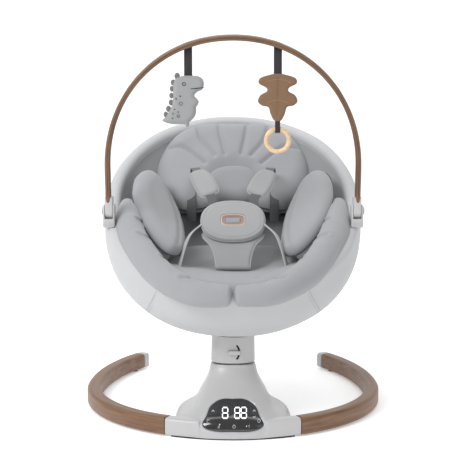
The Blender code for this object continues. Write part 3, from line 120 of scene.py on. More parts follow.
def walnut_foil():
    """Walnut print: long streaks and fine pores that run round the ring or along the arch."""
    tree, take, give = shader_group(
        "walnut_foil", ("Centre", "Vector", (0, 0, 0)), ("Turn", "Vector", (0, 0, 0)),
        ("Light", "Color", (1, 1, 1, 1)), ("Dark", "Color", (0, 0, 0, 1)), ("Depth", "Float", 0.0002))
    place = wire(tree, "Mapping", {"vector_type": "TEXTURE"}, Location=take["Centre"], Rotation=take["Turn"],
                 Vector=on_object(tree)).outputs[0]
    spot = wire(tree, "SeparateXYZ", Vector=place).outputs
    flat = wire(tree, "CombineXYZ", X=spot["X"], Y=spot["Y"]).outputs[0]
    reach = wire(tree, "VectorMath", {"operation": "LENGTH"}, i0=flat).outputs["Value"]
    turn = maths(tree, "ARCTAN2", spot["X"], spot["Y"])
    grain = wire(tree, "CombineXYZ", X=maths(tree, "MULTIPLY", turn, 1.1),
                 Y=maths(tree, "MULTIPLY", reach, 60), Z=maths(tree, "MULTIPLY", spot["Z"], 60)).outputs[0]
    streaks = wire(tree, "TexNoise", Vector=grain, Scale=2.4, Detail=5.0, Roughness=0.62,
                   Distortion=0.4).outputs[0]
    pore_place = wire(tree, "VectorMath", {"operation": "MULTIPLY"}, i0=grain, i1=(9, 6, 6)).outputs[0]
    pores = wire(tree, "TexNoise", Vector=pore_place, Scale=3.0, Detail=2.0).outputs[0]
    streak_mask = wire(tree, "MapRange", Value=streaks, From_Min=0.32, From_Max=0.68).outputs[0]
    pore_mask = wire(tree, "MapRange", Value=pores, From_Min=0.56, From_Max=0.70).outputs[0]
    base = blend_colours(tree, streak_mask, take["Dark"], take["Light"])
    tree.links.new(blend_colours(tree, maths(tree, "MULTIPLY", pore_mask, 0.35), base, take["Dark"]),
                   give["Color"])
    tree.links.new(wire(tree, "MapRange", Value=streaks, To_Min=0.40, To_Max=0.54).outputs[0],
                   give["Roughness"])
    tree.links.new(wire(tree, "Bump", Strength=0.25, Distance=take["Depth"],
                        Height=maths(tree, "SUBTRACT", streak_mask, pore_mask)).outputs[0], give["Normal"])
    return tree


WALNUT = walnut_foil()


def walnut(name, centre, turn, light, dark):
    lacquered = principled(name, 0.48, Coat_Weight=0.12, Coat_Roughness=0.35)
    return finished(lacquered, WALNUT, Centre=centre, Turn=turn, Light=light, Dark=dark)


def moulded_skin():
    """Moulded plastic: a fine spark-eroded grain, a faint cloudiness and a soft gloss change."""
    tree, take, give = shader_group(
        "moulded_skin", ("Tint", "Color", (1, 1, 1, 1)), ("Grain", "Float", 1400.0),
        ("Depth", "Float", 0.00006), ("Gloss", "Float", 0.42))
    place = on_object(tree)
    fine = wire(tree, "TexNoise", Vector=place, Scale=take["Grain"], Detail=2.0).outputs[0]
    broad = wire(tree, "TexNoise", Vector=place, Scale=9.0, Detail=3.0).outputs[0]
    shade = wire(tree, "MapRange", Value=broad, To_Min=0.96, To_Max=1.03).outputs[0]
    tinted = wire(tree, "VectorMath", {"operation": "SCALE"}, i0=take["Tint"], Scale=shade).outputs[0]
    tree.links.new(tinted, give["Color"])
    tree.links.new(maths(tree, "ADD", take["Gloss"], maths(tree, "MULTIPLY", maths(
        tree, "SUBTRACT", broad, 0.5), 0.16)), give["Roughness"])
    tree.links.new(wire(tree, "Bump", Strength=0.3, Distance=take["Depth"], Height=fine).outputs[0],
                   give["Normal"])
    return tree


MOULDED = moulded_skin()


def moulded(name, tint, gloss=0.42, grain=1400.0, depth=0.00006, **values):
    smooth = principled(name, gloss, **values)
    return finished(smooth, MOULDED, Tint=tint, Gloss=gloss, Grain=grain, Depth=depth)


SHELL_GREY = moulded("shell_grey", colour(184, 184, 185), 0.36, Coat_Weight=0.15, Coat_Roughness=0.3)
SOFT_RUBBER = moulded("soft_rubber", colour(38, 38, 40), 0.85, 900.0, 0.00012)


def placed(name, data):
    """A new object in the scene."""
    made = bpy.data.objects.new(name, data)
    bpy.context.scene.collection.objects.link(made)
    return made


def piece(name, mesh, material, body, slot, *nodes, smooth=60):
    """A finished mesh as a piece that rides on a body and stands for CAD nodes."""
    made = placed(name, mesh)
    made.data.materials.clear()
    made.data.materials.append(material)
    mesh.shade_smooth()
    if smooth is not None:
        mesh.set_sharp_from_angle(angle=math.radians(smooth))
    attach(made, body)
    if nodes:
        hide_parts(*nodes)
    return made


def mesh_of(name, build):
    shape = bmesh.new()
    build(shape)
    mesh = bpy.data.meshes.new(name)
    shape.to_mesh(mesh)
    shape.free()
    return mesh


def skin_of_rings(name, rings, closed=False):
    """A skin through rings of points; closed joins the last ring to the first, else the ends are capped."""
    def build(shape):
        rows = [[shape.verts.new(point) for point in ring] for ring in rings]
        pairs = list(zip(rows, rows[1:])) + ([(rows[-1], rows[0])] if closed else [])
        count = len(rows[0])
        for lower, upper in pairs:
            for i in range(count):
                j = (i + 1) % count
                shape.faces.new((lower[i], lower[j], upper[j], upper[i]))
        if not closed:
            shape.faces.new(reversed(rows[0]))
            shape.faces.new(rows[-1])
        bmesh.ops.recalc_face_normals(shape, faces=shape.faces[:])

    return mesh_of(name, build)


def rounded_section(width, height, edge, steps=5):
    points = []
    for side_x, side_y, start in ((1, 1, 0), (-1, 1, 90), (-1, -1, 180), (1, -1, 270)):
        for k in range(steps + 1):
            angle = math.radians(start + 90 * k / steps)
            points.append((side_x * (width / 2 - edge) + edge * math.cos(angle),
                           side_y * (height / 2 - edge) + edge * math.sin(angle)))
    return points


def swept(name, path, section, up=(0, 0, 1), closed=False, scales=None):
    """A section swept along a path; its second direction stays near up. Ends may shrink by scales."""
    path = [Vector(p) for p in path]
    rings = []
    for i, point in enumerate(path):
        before = path[i - 1] if i or closed else path[i]
        after = path[(i + 1) % len(path)] if i < len(path) - 1 or closed else path[i]
        along = (after - before).normalized()
        wide = along.cross(Vector(up)).normalized()
        high = wide.cross(along).normalized()
        size = 1.0 if scales is None else scales[i]
        rings.append([point + (wide * x + high * y) * size for x, y in section])
    return skin_of_rings(name, rings, closed)


ARM_LOW, ARM_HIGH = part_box("right_base_arm")
ARM_WIDTH = 0.028
ARM_EDGE = 0.0065
RING_RADIUS = ARM_HIGH.x - ARM_WIDTH / 2
ARM_HEIGHT = ARM_HIGH.z - ARM_LOW.z
ARM_MIDDLE_Z = (ARM_HIGH.z + ARM_LOW.z) / 2
ARM_REAR_REACH = 0.390
ARM_START = math.radians(25.3)
CAP_START = math.pi / 2 + math.radians(42.1)
ARM_END = math.pi / 2 + math.radians(44.8)
SIDES = (("left", -1), ("right", 1))


def ring_point(angle, side):
    """The ring's middle line from the front, angle 0, round to either side."""
    if angle <= math.pi / 2:
        return Vector((side * RING_RADIUS * math.sin(angle), -RING_RADIUS * math.cos(angle), ARM_MIDDLE_Z))
    past = angle - math.pi / 2
    return Vector((side * RING_RADIUS * math.cos(past), ARM_REAR_REACH * math.sin(past), ARM_MIDDLE_Z))


def arm_length(name, start, end, side, count, shrink=0.0008):
    """A stretch of arm whose end faces are eased over by a small round."""
    angles = list(np.linspace(start, end, count))
    step = 0.0035
    angles = [start, start + step * 0.3, start + step, *angles[1:-1], end - step, end - step * 0.3, end]
    ease_in = 1 - shrink / (ARM_WIDTH / 2)
    eased = [ease_in - 0.02, ease_in + 0.03]
    scales = eased + [1.0] * (len(angles) - 4) + eased[::-1]
    path = [ring_point(angle, side) for angle in angles]
    return swept(name, path, rounded_section(ARM_WIDTH, ARM_HEIGHT, ARM_EDGE), scales=scales)


WALNUT_RING = walnut("walnut_ring", (0, 0, 0), (0, 0, 0), colour(134, 99, 70), colour(94, 63, 39))
for side_name, side in SIDES:
    piece(side_name + "_ring_arm", arm_length("arm", ARM_START + 0.001, CAP_START - 0.0012, side, 90),
          WALNUT_RING, "base", "wood", side_name + "_base_arm", smooth=50)
    piece(side_name + "_end_cap", arm_length("cap", CAP_START + 0.0004, ARM_END, side, 8, shrink=0.002),
          SHELL_GREY, "base", "shell", side_name + "_arm_cap", smooth=50)


def dress(node, material):
    """Give a frame node that stays as it is its material."""
    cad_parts[node].data.materials.clear()
    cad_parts[node].data.materials.append(material)


for node in ("rear_left_foot", "rear_right_foot", "front_foot_strip", "speaker"):
    dress(node, SOFT_RUBBER)


# ------------------------------------------------------------------ pod and pillar
# A front and a rear shell in light grey plastic, parted behind the panel, with a shoulder for each arm.
# The two shells clip together round the sway drive, and a floor plate closes them underneath.
POD_LOW, POD_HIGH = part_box("front_housing")
POD_FRONT = POD_LOW.y
SPLIT_Y = -0.150
POD_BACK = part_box("rear_housing")[1].y
PILLAR_BASE = POD_LOW.z
PILLAR_TOP = POD_HIGH.z
NECK_LOW, NECK_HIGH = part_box("neck_front_cover")
NECK_HALF_WIDTH = NECK_HIGH.x
NECK_FRONT = NECK_LOW.y
NECK_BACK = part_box("neck_rear_cover")[1].y
PILLAR_WIDTHS = ((PILLAR_BASE, 0.112), (0.018, 0.110), (0.0303, 0.1014), (0.0435, 0.078), (0.068, 0.0623),
                 (0.0926, 0.0485), (PILLAR_TOP, NECK_HALF_WIDTH))
PILLAR_CROWN = 0.36
BOTTOM_ROUND = 0.003


def smooth_between(points, where):
    """A smooth curve through (place, value) points, read at one place."""
    places, values = zip(*points)
    if where <= places[0]:
        return values[0]
    if where >= places[-1]:
        return values[-1]
    slopes = np.gradient(values, places)
    i = int(np.searchsorted(places, where)) - 1
    span = places[i + 1] - places[i]
    t = (where - places[i]) / span
    return ((2 * t**3 - 3 * t**2 + 1) * values[i] + (t**3 - 2 * t**2 + t) * span * slopes[i]
            + (3 * t**2 - 2 * t**3) * values[i + 1] + (t**3 - t**2) * span * slopes[i + 1])


def ease(low, high, value):
    t = min(1.0, max(0.0, (value - low) / (high - low)))
    return t * t * (3 - 2 * t)


def squared_off(value, fullness):
    """A sine or cosine made squarer: 2 keeps it round."""
    return math.copysign(abs(value) ** (2 / fullness), value)


def pillar_faces(z):
    """The housing's front and back Y at a height, and how square its section is."""
    front = POD_FRONT + (NECK_FRONT - POD_FRONT) * ease(0.020, PILLAR_TOP, z)
    back = POD_BACK + (NECK_BACK - POD_BACK) * ease(0.020, PILLAR_TOP, z)
    return front, back, 4.5 - 1.7 * ease(0.02, 0.09, z)


def pillar_ring(z, inset=0.0, height=None, count=144):
    half_width = smooth_between(PILLAR_WIDTHS, z) - inset
    front, back, squareness = pillar_faces(z)
    front, back = front + inset, back - inset
    middle = (front + back) / 2
    ring = []
    for k in range(count):
        angle = 2 * math.pi * k / count
        c, s = math.cos(angle), math.sin(angle)
        x = half_width * squared_off(c, squareness)
        edge = abs(s) ** (2 / squareness)
        reach = -math.sqrt(front**2 - x**2) if s < 0 else back
        ring.append((x, middle + (reach - middle) * edge, z if height is None else height(x)))
    return ring


def front_surface(x, z, lift=0.0):
    """A point on the housing's front face, lifted off it."""
    front, back, squareness = pillar_faces(z)
    middle = (front + back) / 2
    edge = max(0.0, 1 - abs(x / smooth_between(PILLAR_WIDTHS, z)) ** squareness) ** (1 / squareness)
    return Vector((x, middle + (-math.sqrt(front**2 - x**2) - middle) * edge - lift, z))


def crown(x):
    return PILLAR_TOP - x * x / (2 * PILLAR_CROWN)


def as_mesh(made, *others):
    """An object's mesh after its modifiers; it and the others are removed."""
    mesh = bpy.data.meshes.new_from_object(made.evaluated_get(bpy.context.evaluated_depsgraph_get()))
    for used in (made, *others):
        bpy.data.objects.remove(used, do_unlink=True)
    return mesh


def housing_mesh():
    """The whole housing with its shoulders, melted together by a fine remesh."""
    levels = [PILLAR_BASE + 0.0022, *np.linspace(0.008, PILLAR_TOP - 0.004, 46)]
    rings = [pillar_ring(PILLAR_BASE, BOTTOM_ROUND), pillar_ring(PILLAR_BASE + 0.0006, BOTTOM_ROUND * 0.35),
             *[pillar_ring(z) for z in levels], pillar_ring(PILLAR_TOP, 0.0, lambda x: crown(x) - 0.0008),
             pillar_ring(PILLAR_TOP, 0.0008, crown)]
    body = placed("housing", skin_of_rings("housing", rings))
    arms = [placed("shoulder", arm_length("shoulder", math.radians(12), ARM_START - 0.001, side, 24,
                                          shrink=0.0005)) for _, side in SIDES]
    for arm in arms:
        join = body.modifiers.new("join", "BOOLEAN")
        join.operation = "UNION"
        join.object = arm
    melt = body.modifiers.new("melt", "REMESH")
    melt.mode = "VOXEL"
    melt.voxel_size = 0.0014
    soften = body.modifiers.new("soften", "SMOOTH")
    soften.factor = 0.5
    soften.iterations = 8
    return as_mesh(body, *arms)


HALF_SEAM = 0.00035


def half_of(mesh, name, way):
    """The front (-1) or rear (1) half of a closed mesh, parted at the seam."""
    def build(shape):
        shape.from_mesh(mesh)
        cut = bmesh.ops.bisect_plane(shape, geom=shape.verts[:] + shape.edges[:] + shape.faces[:],
                                     plane_co=(0, SPLIT_Y + way * HALF_SEAM, 0), plane_no=(0, -way, 0),
                                     clear_outer=True, dist=1e-6)
        bmesh.ops.holes_fill(shape, edges=[e for e in cut["geom_cut"] if isinstance(e, bmesh.types.BMEdge)])

    return mesh_of(name, build)


whole_housing = housing_mesh()
for end, way in (("front", -1), ("rear", 1)):
    piece(end + "_shell", half_of(whole_housing, end + "_shell", way), SHELL_GREY, "base", "shell",
          end + "_housing", smooth=40)
dress("floor_plate", SHELL_GREY)


# ------------------------------------------------------------------ touch panel
# A gloss black acrylic panel, curved to the pod's front and let into it flush, with a thin rim whose bright
# colour is a painted highlight along its edge.
# White lamps behind it light three digits; the touch marks round them are printed in pale grey and given a
# faint painted glow.
PANEL_LOW, PANEL_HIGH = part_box("touch_panel")
PANEL_SIDE = ((0.0, 0.0), (0.0179, 0.0), (0.0314, 0.0047), (0.0444, 0.0158), (0.0511, 0.0318),
              (0.0585, 0.0478), (0.0511, 0.0577), (0.0314, 0.0632), (0.0, 0.0632))
PANEL_SQUASH = (PANEL_HIGH.z - PANEL_LOW.z) / PANEL_SIDE[-1][1] * 0.985


def spline_through(knots, per_span=10, closed=True):
    """A smooth curve through knots, as a list of Vectors."""
    knots = [Vector(k) for k in knots]
    count = len(knots)
    curve = []
    for i in range(count if closed else count - 1):
        a, b = knots[i], knots[(i + 1) % count]
        before = knots[i - 1] if closed or i else 2 * a - b
        after = knots[(i + 2) % count] if closed or i < count - 2 else 2 * b - a
        for k in range(per_span):
            t = k / per_span
            curve.append(0.5 * ((2 * a) + (b - before) * t + (2 * before - 5 * a + 4 * b - after) * t**2
                                + (3 * a - before - 3 * b + after) * t**3))
    return curve if closed else curve + [knots[-1]]


def both_sides(half):
    """A whole outline from its right half, top to bottom."""
    return [*half, *[(-x, y) for x, y in reversed(half) if abs(x) > 1e-6]]


def circle(count, radius=1.0):
    return [(radius * math.cos(a), radius * math.sin(a))
            for a in np.linspace(0, 2 * math.pi, count, endpoint=False)]


def laid_patch(name, outline, surface, rings, dome):
    """An outline filled by rings and laid on a surface(x, z, lift); dome gives each ring's lift."""
    centre = outline.mean(axis=0)

    def build(shape):
        rows = [[shape.verts.new(surface(*(centre + (p - centre) * k / rings), dome(k / rings)))
                 for p in outline] for k in range(1, rings + 1)]
        middle = shape.verts.new(surface(*centre, dome(0.0)))
        count = len(outline)
        for i in range(count):
            shape.faces.new((middle, rows[0][i], rows[0][(i + 1) % count]))
        for lower, upper in zip(rows, rows[1:]):
            for i in range(count):
                j = (i + 1) % count
                shape.faces.new((lower[i], upper[i], upper[j], lower[j]))
        bmesh.ops.recalc_face_normals(shape, faces=shape.faces[:])
        shape.normal_update()

    return mesh_of(name, build)


panel_outline = np.array([tuple(p) for p in spline_through(both_sides(PANEL_SIDE), per_span=8)])
panel_outline[:, 1] = PANEL_LOW.z + 0.0004 + (PANEL_SIDE[-1][1] - panel_outline[:, 1]) * PANEL_SQUASH
panel_gloss, panel_tree, panel_shader = principled("black_gloss_acrylic", 0.12, Coat_Weight=1.0,
                                                   Coat_Roughness=0.06, Base_Color=colour(24, 24, 26))
smear = wire(panel_tree, "TexNoise", Vector=on_object(panel_tree), Scale=35.0, Detail=4.0)
panel_tree.links.new(wire(panel_tree, "MapRange", Value=smear.outputs[0], To_Min=0.10,
                          To_Max=0.24).outputs[0], panel_shader.inputs["Roughness"])
panel_tree.links.new(wire(panel_tree, "MapRange", Value=smear.outputs[0], To_Min=0.9,
                          To_Max=1.0).outputs[0], panel_shader.inputs["Coat Weight"])


def panel_dome(share):
    """The panel's edge is eased into its seat."""
    return 0.0009 - 0.0016 * max(0.0, share - 0.93) / 0.07


piece("panel_glass", laid_patch("panel_glass", panel_outline, front_surface, 30, panel_dome), panel_gloss,
      "base", "panel", "touch_panel", smooth=None)
# The rim's pale, half-metallic colour is a painted highlight along the panel's edge.
RIM_HIGHLIGHT = moulded("rim_painted_highlight", colour(214, 214, 216), 0.22, Metallic=0.55)
rim_path = [front_surface(x, z, 0.0006) for x, z in panel_outline]
piece("panel_rim", swept("panel_rim", rim_path, circle(8, 0.0005), up=(0, 1, 0), closed=True), RIM_HIGHLIGHT,
      "base", "shell", smooth=None)

DIGIT_WIDTH = 0.0098
DIGIT_HEIGHT = 0.0145
STROKE = 0.0016
PRINT_LIFT = 0.0014
LIT_Z = PANEL_HIGH.z - 0.0195


def strip_on_panel(shape, start, end, width):
    """One printed or lit stroke on the panel, with pointed ends."""
    start, end = Vector(start), Vector(end)
    along = (end - start).normalized()
    side = Vector((-along.y, along.x)) * width / 2
    tip = along * width / 2
    corners = (start, start + tip + side, end - tip + side, end, end - tip - side, start + tip - side)
    shape.faces.new([shape.verts.new(front_surface(p.x, p.y, PRINT_LIFT)) for p in corners])


def lit_digits(shape):
    """Three figures of seven segments, all eights."""
    for middle in (-0.0145, 0.0080, 0.0200):
        left, right = middle - DIGIT_WIDTH / 2, middle + DIGIT_WIDTH / 2
        low, high = LIT_Z - DIGIT_HEIGHT / 2, LIT_Z + DIGIT_HEIGHT / 2
        for a, b in (((left, low), (right, low)), ((left, LIT_Z), (right, LIT_Z)),
                     ((left, high), (right, high)), ((left, low), (left, LIT_Z)), ((left, LIT_Z), (left, high)),
                     ((right, low), (right, LIT_Z)), ((right, LIT_Z), (right, high))):
            inset = (Vector(b) - Vector(a)).normalized() * 0.0006
            strip_on_panel(shape, Vector(a) + inset, Vector(b) - inset, STROKE)


def arc_marks(shape, x, z, radius, start, end, width=0.0009, count=14):
    """A curved stroke made of short straight ones."""
    for a, b in zip(np.linspace(start, end, count)[:-1], np.linspace(start, end, count)[1:]):
        strip_on_panel(shape, (x + radius * math.cos(a), z + radius * math.sin(a)),
                       (x + radius * math.cos(b), z + radius * math.sin(b)), width)


def touch_marks(shape):
    """Marks for swing speed, timer, music, volume and power round the figures."""
    low_z = PANEL_LOW.z + 0.0105
    for x, z, up in ((-0.0370, LIT_Z + 0.002, 1), (0.0395, LIT_Z + 0.002, 1), (0.0395, LIT_Z - 0.006, -1)):
        strip_on_panel(shape, (x - 0.0026, z - up * 0.0012), (x, z + up * 0.0014), 0.0009)
        strip_on_panel(shape, (x + 0.0026, z - up * 0.0012), (x, z + up * 0.0014), 0.0009)
    arc_marks(shape, -0.0455, low_z + 0.0075, 0.0024, 0.5, 5.6)
    arc_marks(shape, 0.0480, low_z + 0.0085, 0.0026, 0.0, 6.28)
    strip_on_panel(shape, (0.0480, low_z + 0.0085), (0.0480, low_z + 0.0103), 0.0008)
    arc_marks(shape, -0.0265, low_z - 0.001, 0.0012, 0.0, 6.28, 0.0011)
    strip_on_panel(shape, (-0.0253, low_z - 0.001), (-0.0253, low_z + 0.0044), 0.0008)
    strip_on_panel(shape, (-0.0253, low_z + 0.0044), (-0.0228, low_z + 0.0034), 0.0010)
    arc_marks(shape, 0.0020, low_z + 0.0005, 0.0027, 1.95, 7.45)
    strip_on_panel(shape, (0.0020, low_z + 0.0008), (0.0020, low_z + 0.0042), 0.0009)
    arc_marks(shape, 0.0270, low_z + 0.001, 0.0016, -1.0, 1.0, 0.0008, 8)
    arc_marks(shape, 0.0278, low_z + 0.001, 0.0030, -0.9, 0.9, 0.0008, 8)
    strip_on_panel(shape, (0.0235, low_z + 0.001), (0.0262, low_z + 0.001), 0.0026)


def glowing(name, tint, strength):
    """A lit print: its edges fade a little so that the strokes look backlit."""
    material, tree, shader = principled(name, 0.4, Emission_Color=tint, Emission_Strength=strength,
                                        Base_Color=tint)
    glow = wire(tree, "TexNoise", Vector=on_object(tree), Scale=220.0)
    tree.links.new(blend_colours(tree, wire(tree, "MapRange", Value=glow.outputs[0], To_Max=0.25).outputs[0],
                                 tint, colour(150, 165, 180)), shader.inputs["Emission Color"])
    return material


def facing_front(mesh):
    """A print's faces turned to look out of the panel."""
    shape = bmesh.new()
    shape.from_mesh(mesh)
    shape.normal_update()
    bmesh.ops.reverse_faces(shape, faces=[face for face in shape.faces if face.normal.y > 0])
    shape.to_mesh(mesh)
    shape.free()
    return mesh


piece("lit_figures", facing_front(mesh_of("lit_figures", lit_digits)),
      glowing("lit_white", colour(236, 240, 244), 1.3), "base", "panel")
# The touch marks are printed, with no lamp behind them: their emission is painted glow.
piece("touch_marks", facing_front(mesh_of("touch_marks", touch_marks)),
      glowing("mark_painted_glow", colour(170, 172, 175), 0.55), "base", "panel")


# ------------------------------------------------------------------ neck and recline lever
# The neck is a front and a rear cover round the rocker arm; it sways with the seat over the pillar.
# A small grey lever on its front turns in a curved slot and frees the recline hinge.
NECK_GAP_LOW = NECK_LOW.z
NECK_LIMIT = 0.215
NECK_TO_BOWL = 0.004
NECK_TO_RECLINED_BOWL = 0.007
NECK_WALL = 0.0035
RECLINE_AXIS_Z = 0.143
RECLINE_BACK = math.radians(-15)
LEVER_LOW, LEVER_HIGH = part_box("recline_lever")
LEVER_Z = (LEVER_LOW.z + LEVER_HIGH.z) / 2
LEVER_X = -0.0066
LEVER_ARC = 0.0189
LEVER_HALF_HEIGHT = 0.004
LEVER_STUB_RADIUS = 0.003
SLOT_HALF_WIDTH = 0.0017
SLOT_DEPTH = 0.012

# The seat's own frame: its hoop lies in a sloping plane through this centre
HOOP_LOW, HOOP_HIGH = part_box("hoop_tube")
HOOP_CENTRE = (HOOP_LOW + HOOP_HIGH) / 2
HOOP_SLOPE = math.radians(29.6)
RIM_ROLL = 0.0135
HOOP_TUBE_RADIUS = 0.0095
HOOP_HALF_WIDTH = HOOP_HIGH.x + RIM_ROLL - HOOP_TUBE_RADIUS
HOOP_HALF_LENGTH = 0.3165
HOOP_FULLNESS = 2.15
BOWL_DEPTH = 0.160
BOWL_LEAN = -0.2285
HOOP_TURN = Matrix.Translation(HOOP_CENTRE) @ Matrix.Rotation(HOOP_SLOPE, 4, "X")


def wall_shape(toward_front):
    front = 0.5 + 0.5 * toward_front
    return 2.0 + 0.72 * front, 0.1557 * front


def bowl_point(angle, fall, inset=0.0):
    """A point of the bowl in hoop coordinates; fall is 0 at the rim and pi/2 at the bottom."""
    c, s = math.cos(angle), math.sin(angle)
    c_shape, s_shape = squared_off(c, HOOP_FULLNESS), squared_off(s, HOOP_FULLNESS)
    fullness, flare = wall_shape(-s)
    reach = math.cos(fall) ** (2 / fullness) * (1 + flare * math.sin(2 * fall))
    drop = -(BOWL_DEPTH - inset) * math.sin(fall) ** (2 / fullness)
    return Vector(((HOOP_HALF_WIDTH - inset) * c_shape * reach,
                   (HOOP_HALF_LENGTH - inset) * s_shape * reach + BOWL_LEAN * drop, drop))


def cut_with(mesh, name, operation, *others):
    """A mesh after Booleans with other meshes, as a new mesh."""
    body = placed(name, mesh)
    tools = [placed(name + "_tool", other) for other in others]
    for tool in tools:
        step = body.modifiers.new("step", "BOOLEAN")
        step.operation = operation
        step.object = tool
    return as_mesh(body, *tools)


def rod(name, start, end, radius, sides=48):
    start, end = Vector(start), Vector(end)
    turn = Vector((0, 0, 1)).rotation_difference(end - start).to_matrix().to_4x4()
    matrix = Matrix.Translation((start + end) / 2) @ turn
    return mesh_of(name, lambda shape: bmesh.ops.create_cone(
        shape, cap_ends=True, segments=sides, radius1=radius, radius2=radius, depth=(end - start).length,
        matrix=matrix))


def slot_cutter():
    """The curved slot that the lever's stub runs in."""
    sweep = np.linspace(-0.80, 0.80, 15)
    outer, inner = LEVER_ARC + SLOT_HALF_WIDTH, LEVER_ARC - SLOT_HALF_WIDTH
    outline = [(outer * math.cos(a), outer * math.sin(a)) for a in sweep]
    outline += [(inner * math.cos(a), inner * math.sin(a)) for a in reversed(sweep)]
    return skin_of_rings("slot", [[(LEVER_X + x, NECK_FRONT + y, LEVER_Z + z) for x, z in outline]
                                  for y in (-0.01, SLOT_DEPTH)])


def bowl_solid(grow):
    falls = np.linspace(math.pi / 2, 0.0, 26)[1:]
    rings = [[HOOP_TURN @ bowl_point(2 * math.pi * k / 96, fall, -grow) for k in range(96)] for fall in falls]
    return skin_of_rings("bowl_room", rings)


def neck_tube():
    """The neck as one open sleeve with eased edges."""
    outer = [pillar_ring(PILLAR_TOP, 0.0008, lambda x: NECK_GAP_LOW),
             pillar_ring(PILLAR_TOP, 0.0, lambda x: NECK_GAP_LOW + 0.0008),
             pillar_ring(PILLAR_TOP, 0.0015, lambda x: NECK_LIMIT)]
    inner = [pillar_ring(PILLAR_TOP, NECK_WALL + 0.001, lambda x: NECK_LIMIT),
             pillar_ring(PILLAR_TOP, NECK_WALL, lambda x: NECK_GAP_LOW)]
    return skin_of_rings("neck", outer + inner, closed=True)


neck = cut_with(neck_tube(), "neck", "DIFFERENCE", bowl_solid(NECK_TO_BOWL), slot_cutter())
piece("neck_front", half_of(neck, "neck_front", -1), SHELL_GREY, "neck", "shell", "neck_front_cover", smooth=35)
recline_axis = Matrix.Translation((0, SPLIT_Y, RECLINE_AXIS_Z))
low_bowl = bowl_solid(NECK_TO_RECLINED_BOWL)
low_bowl.transform(recline_axis @ Matrix.Rotation(RECLINE_BACK, 4, "X") @ recline_axis.inverted())
neck_rear = cut_with(half_of(neck, "neck_rear", 1), "neck_rear", "DIFFERENCE", low_bowl)
piece("neck_rear", neck_rear, SHELL_GREY, "neck", "shell", "neck_rear_cover", smooth=35)
# Near-black plastic used only for the plate behind the lever slot: painted shade for the neck's dark inside.
PAINTED_SHADE_INSIDE = moulded("painted_shade_inside", colour(30, 30, 32), 0.8)


def bevelled_box(name, low, high, edge, segments=4):
    """A box with rounded edges."""
    low, high = Vector(low), Vector(high)
    matrix = Matrix.Translation((low + high) / 2) @ Matrix.Diagonal((*(high - low), 1.0))

    def build(shape):
        bmesh.ops.create_cube(shape, size=1.0, matrix=matrix)
        bmesh.ops.bevel(shape, geom=shape.edges[:] + shape.verts[:], offset=edge, segments=segments,
                        affect="EDGES", profile=0.5)

    return mesh_of(name, build)


# A thin near-black plate inside the neck behind the slot; its colour is painted shade seen through the slot.
piece("slot_shade_plate", bevelled_box("slot_shade_plate", (LEVER_X + 0.006, NECK_FRONT + 0.0055, LEVER_Z - 0.018),
                                   (LEVER_X + 0.024, NECK_FRONT + 0.0068, LEVER_Z + 0.018), 0.0003, 1),
      PAINTED_SHADE_INSIDE, "neck", "rubber", smooth=None)
lever_bar = bevelled_box("lever", (LEVER_LOW.x + 0.002, LEVER_LOW.y, LEVER_Z - LEVER_HALF_HEIGHT),
                         (LEVER_HIGH.x, LEVER_LOW.y + 0.0055, LEVER_Z + LEVER_HALF_HEIGHT), 0.0014)
lever_parts = cut_with(lever_bar, "lever", "UNION",
                       rod("stub", (LEVER_X, LEVER_LOW.y + 0.003, LEVER_Z),
                           (LEVER_X, NECK_FRONT + 0.008, LEVER_Z), LEVER_STUB_RADIUS, 32))
piece("recline_handle", lever_parts, SHELL_GREY, "lever", "shell", "recline_lever", smooth=35)
STEEL = moulded("zinc_steel", colour(178, 180, 184), 0.34, 600.0, 0.00003, Metallic=1.0)
DARK_STEEL = moulded("dark_steel", colour(96, 97, 100), 0.42, 600.0, 0.00003, Metallic=0.9)
NYLON_WHITE = moulded("nylon_white", colour(222, 220, 214), 0.5)
BOARD_GREEN = moulded("board_green", colour(40, 92, 60), 0.5)
for node, material in (("rocker_arm", DARK_STEEL), ("recline_pin", STEEL), ("seat_mount", DARK_STEEL),
                       ("pivot_frame", STEEL), ("pivot_shaft", STEEL), ("crank_disc", NYLON_WHITE),
                       ("gear_motor", STEEL), ("left_arm_spigot", STEEL), ("right_arm_spigot", STEEL),
                       ("hoop_tube", STEEL), ("left_cradle_tube", STEEL), ("right_cradle_tube", STEEL),
                       ("seat_plate", NYLON_WHITE), ("control_board", BOARD_GREEN),
                       ("power_inlet", SOFT_RUBBER)):
    dress(node, material)


# ------------------------------------------------------------------ sling bowl
# A fabric shell of knitted cover over foam, pulled over the steel hoop and closed under the seat.
# Two sewn seams run down its front, and the cover is notched where the side brackets grip the hoop.
def knit_cloth():
    """Knitted cloth: a melange of light and dark yarn, fine stitches and a soft nap."""
    tree, take, give = shader_group(
        "knit_cloth", ("Tint", "Color", (1, 1, 1, 1)), ("Stitch", "Float", 900.0),
        ("Depth", "Float", 0.00035), ("Melange", "Float", 0.10))
    place = on_object(tree)
    yarn = wire(tree, "TexNoise", Vector=place, Scale=take["Stitch"], Detail=3.0, Roughness=0.6).outputs[0]
    loops = wire(tree, "TexVoronoi", {"feature": "F1"}, Vector=place, Scale=take["Stitch"]).outputs[0]
    cloud = wire(tree, "TexNoise", Vector=place, Scale=14.0, Detail=4.0).outputs[0]
    mixed = maths(tree, "ADD", maths(tree, "MULTIPLY", maths(tree, "SUBTRACT", yarn, 0.5), take["Melange"]),
                  maths(tree, "MULTIPLY", maths(tree, "SUBTRACT", cloud, 0.5), 0.07))
    tree.links.new(wire(tree, "VectorMath", {"operation": "SCALE"}, i0=take["Tint"],
                        Scale=maths(tree, "ADD", mixed, 1.0)).outputs[0], give["Color"])
    tree.links.new(maths(tree, "ADD", maths(tree, "MULTIPLY", yarn, 0.12), 0.80), give["Roughness"])
    tree.links.new(wire(tree, "Bump", Strength=0.35, Distance=take["Depth"],
                        Height=maths(tree, "SUBTRACT", yarn, loops)).outputs[0], give["Normal"])
    return tree


KNIT = knit_cloth()


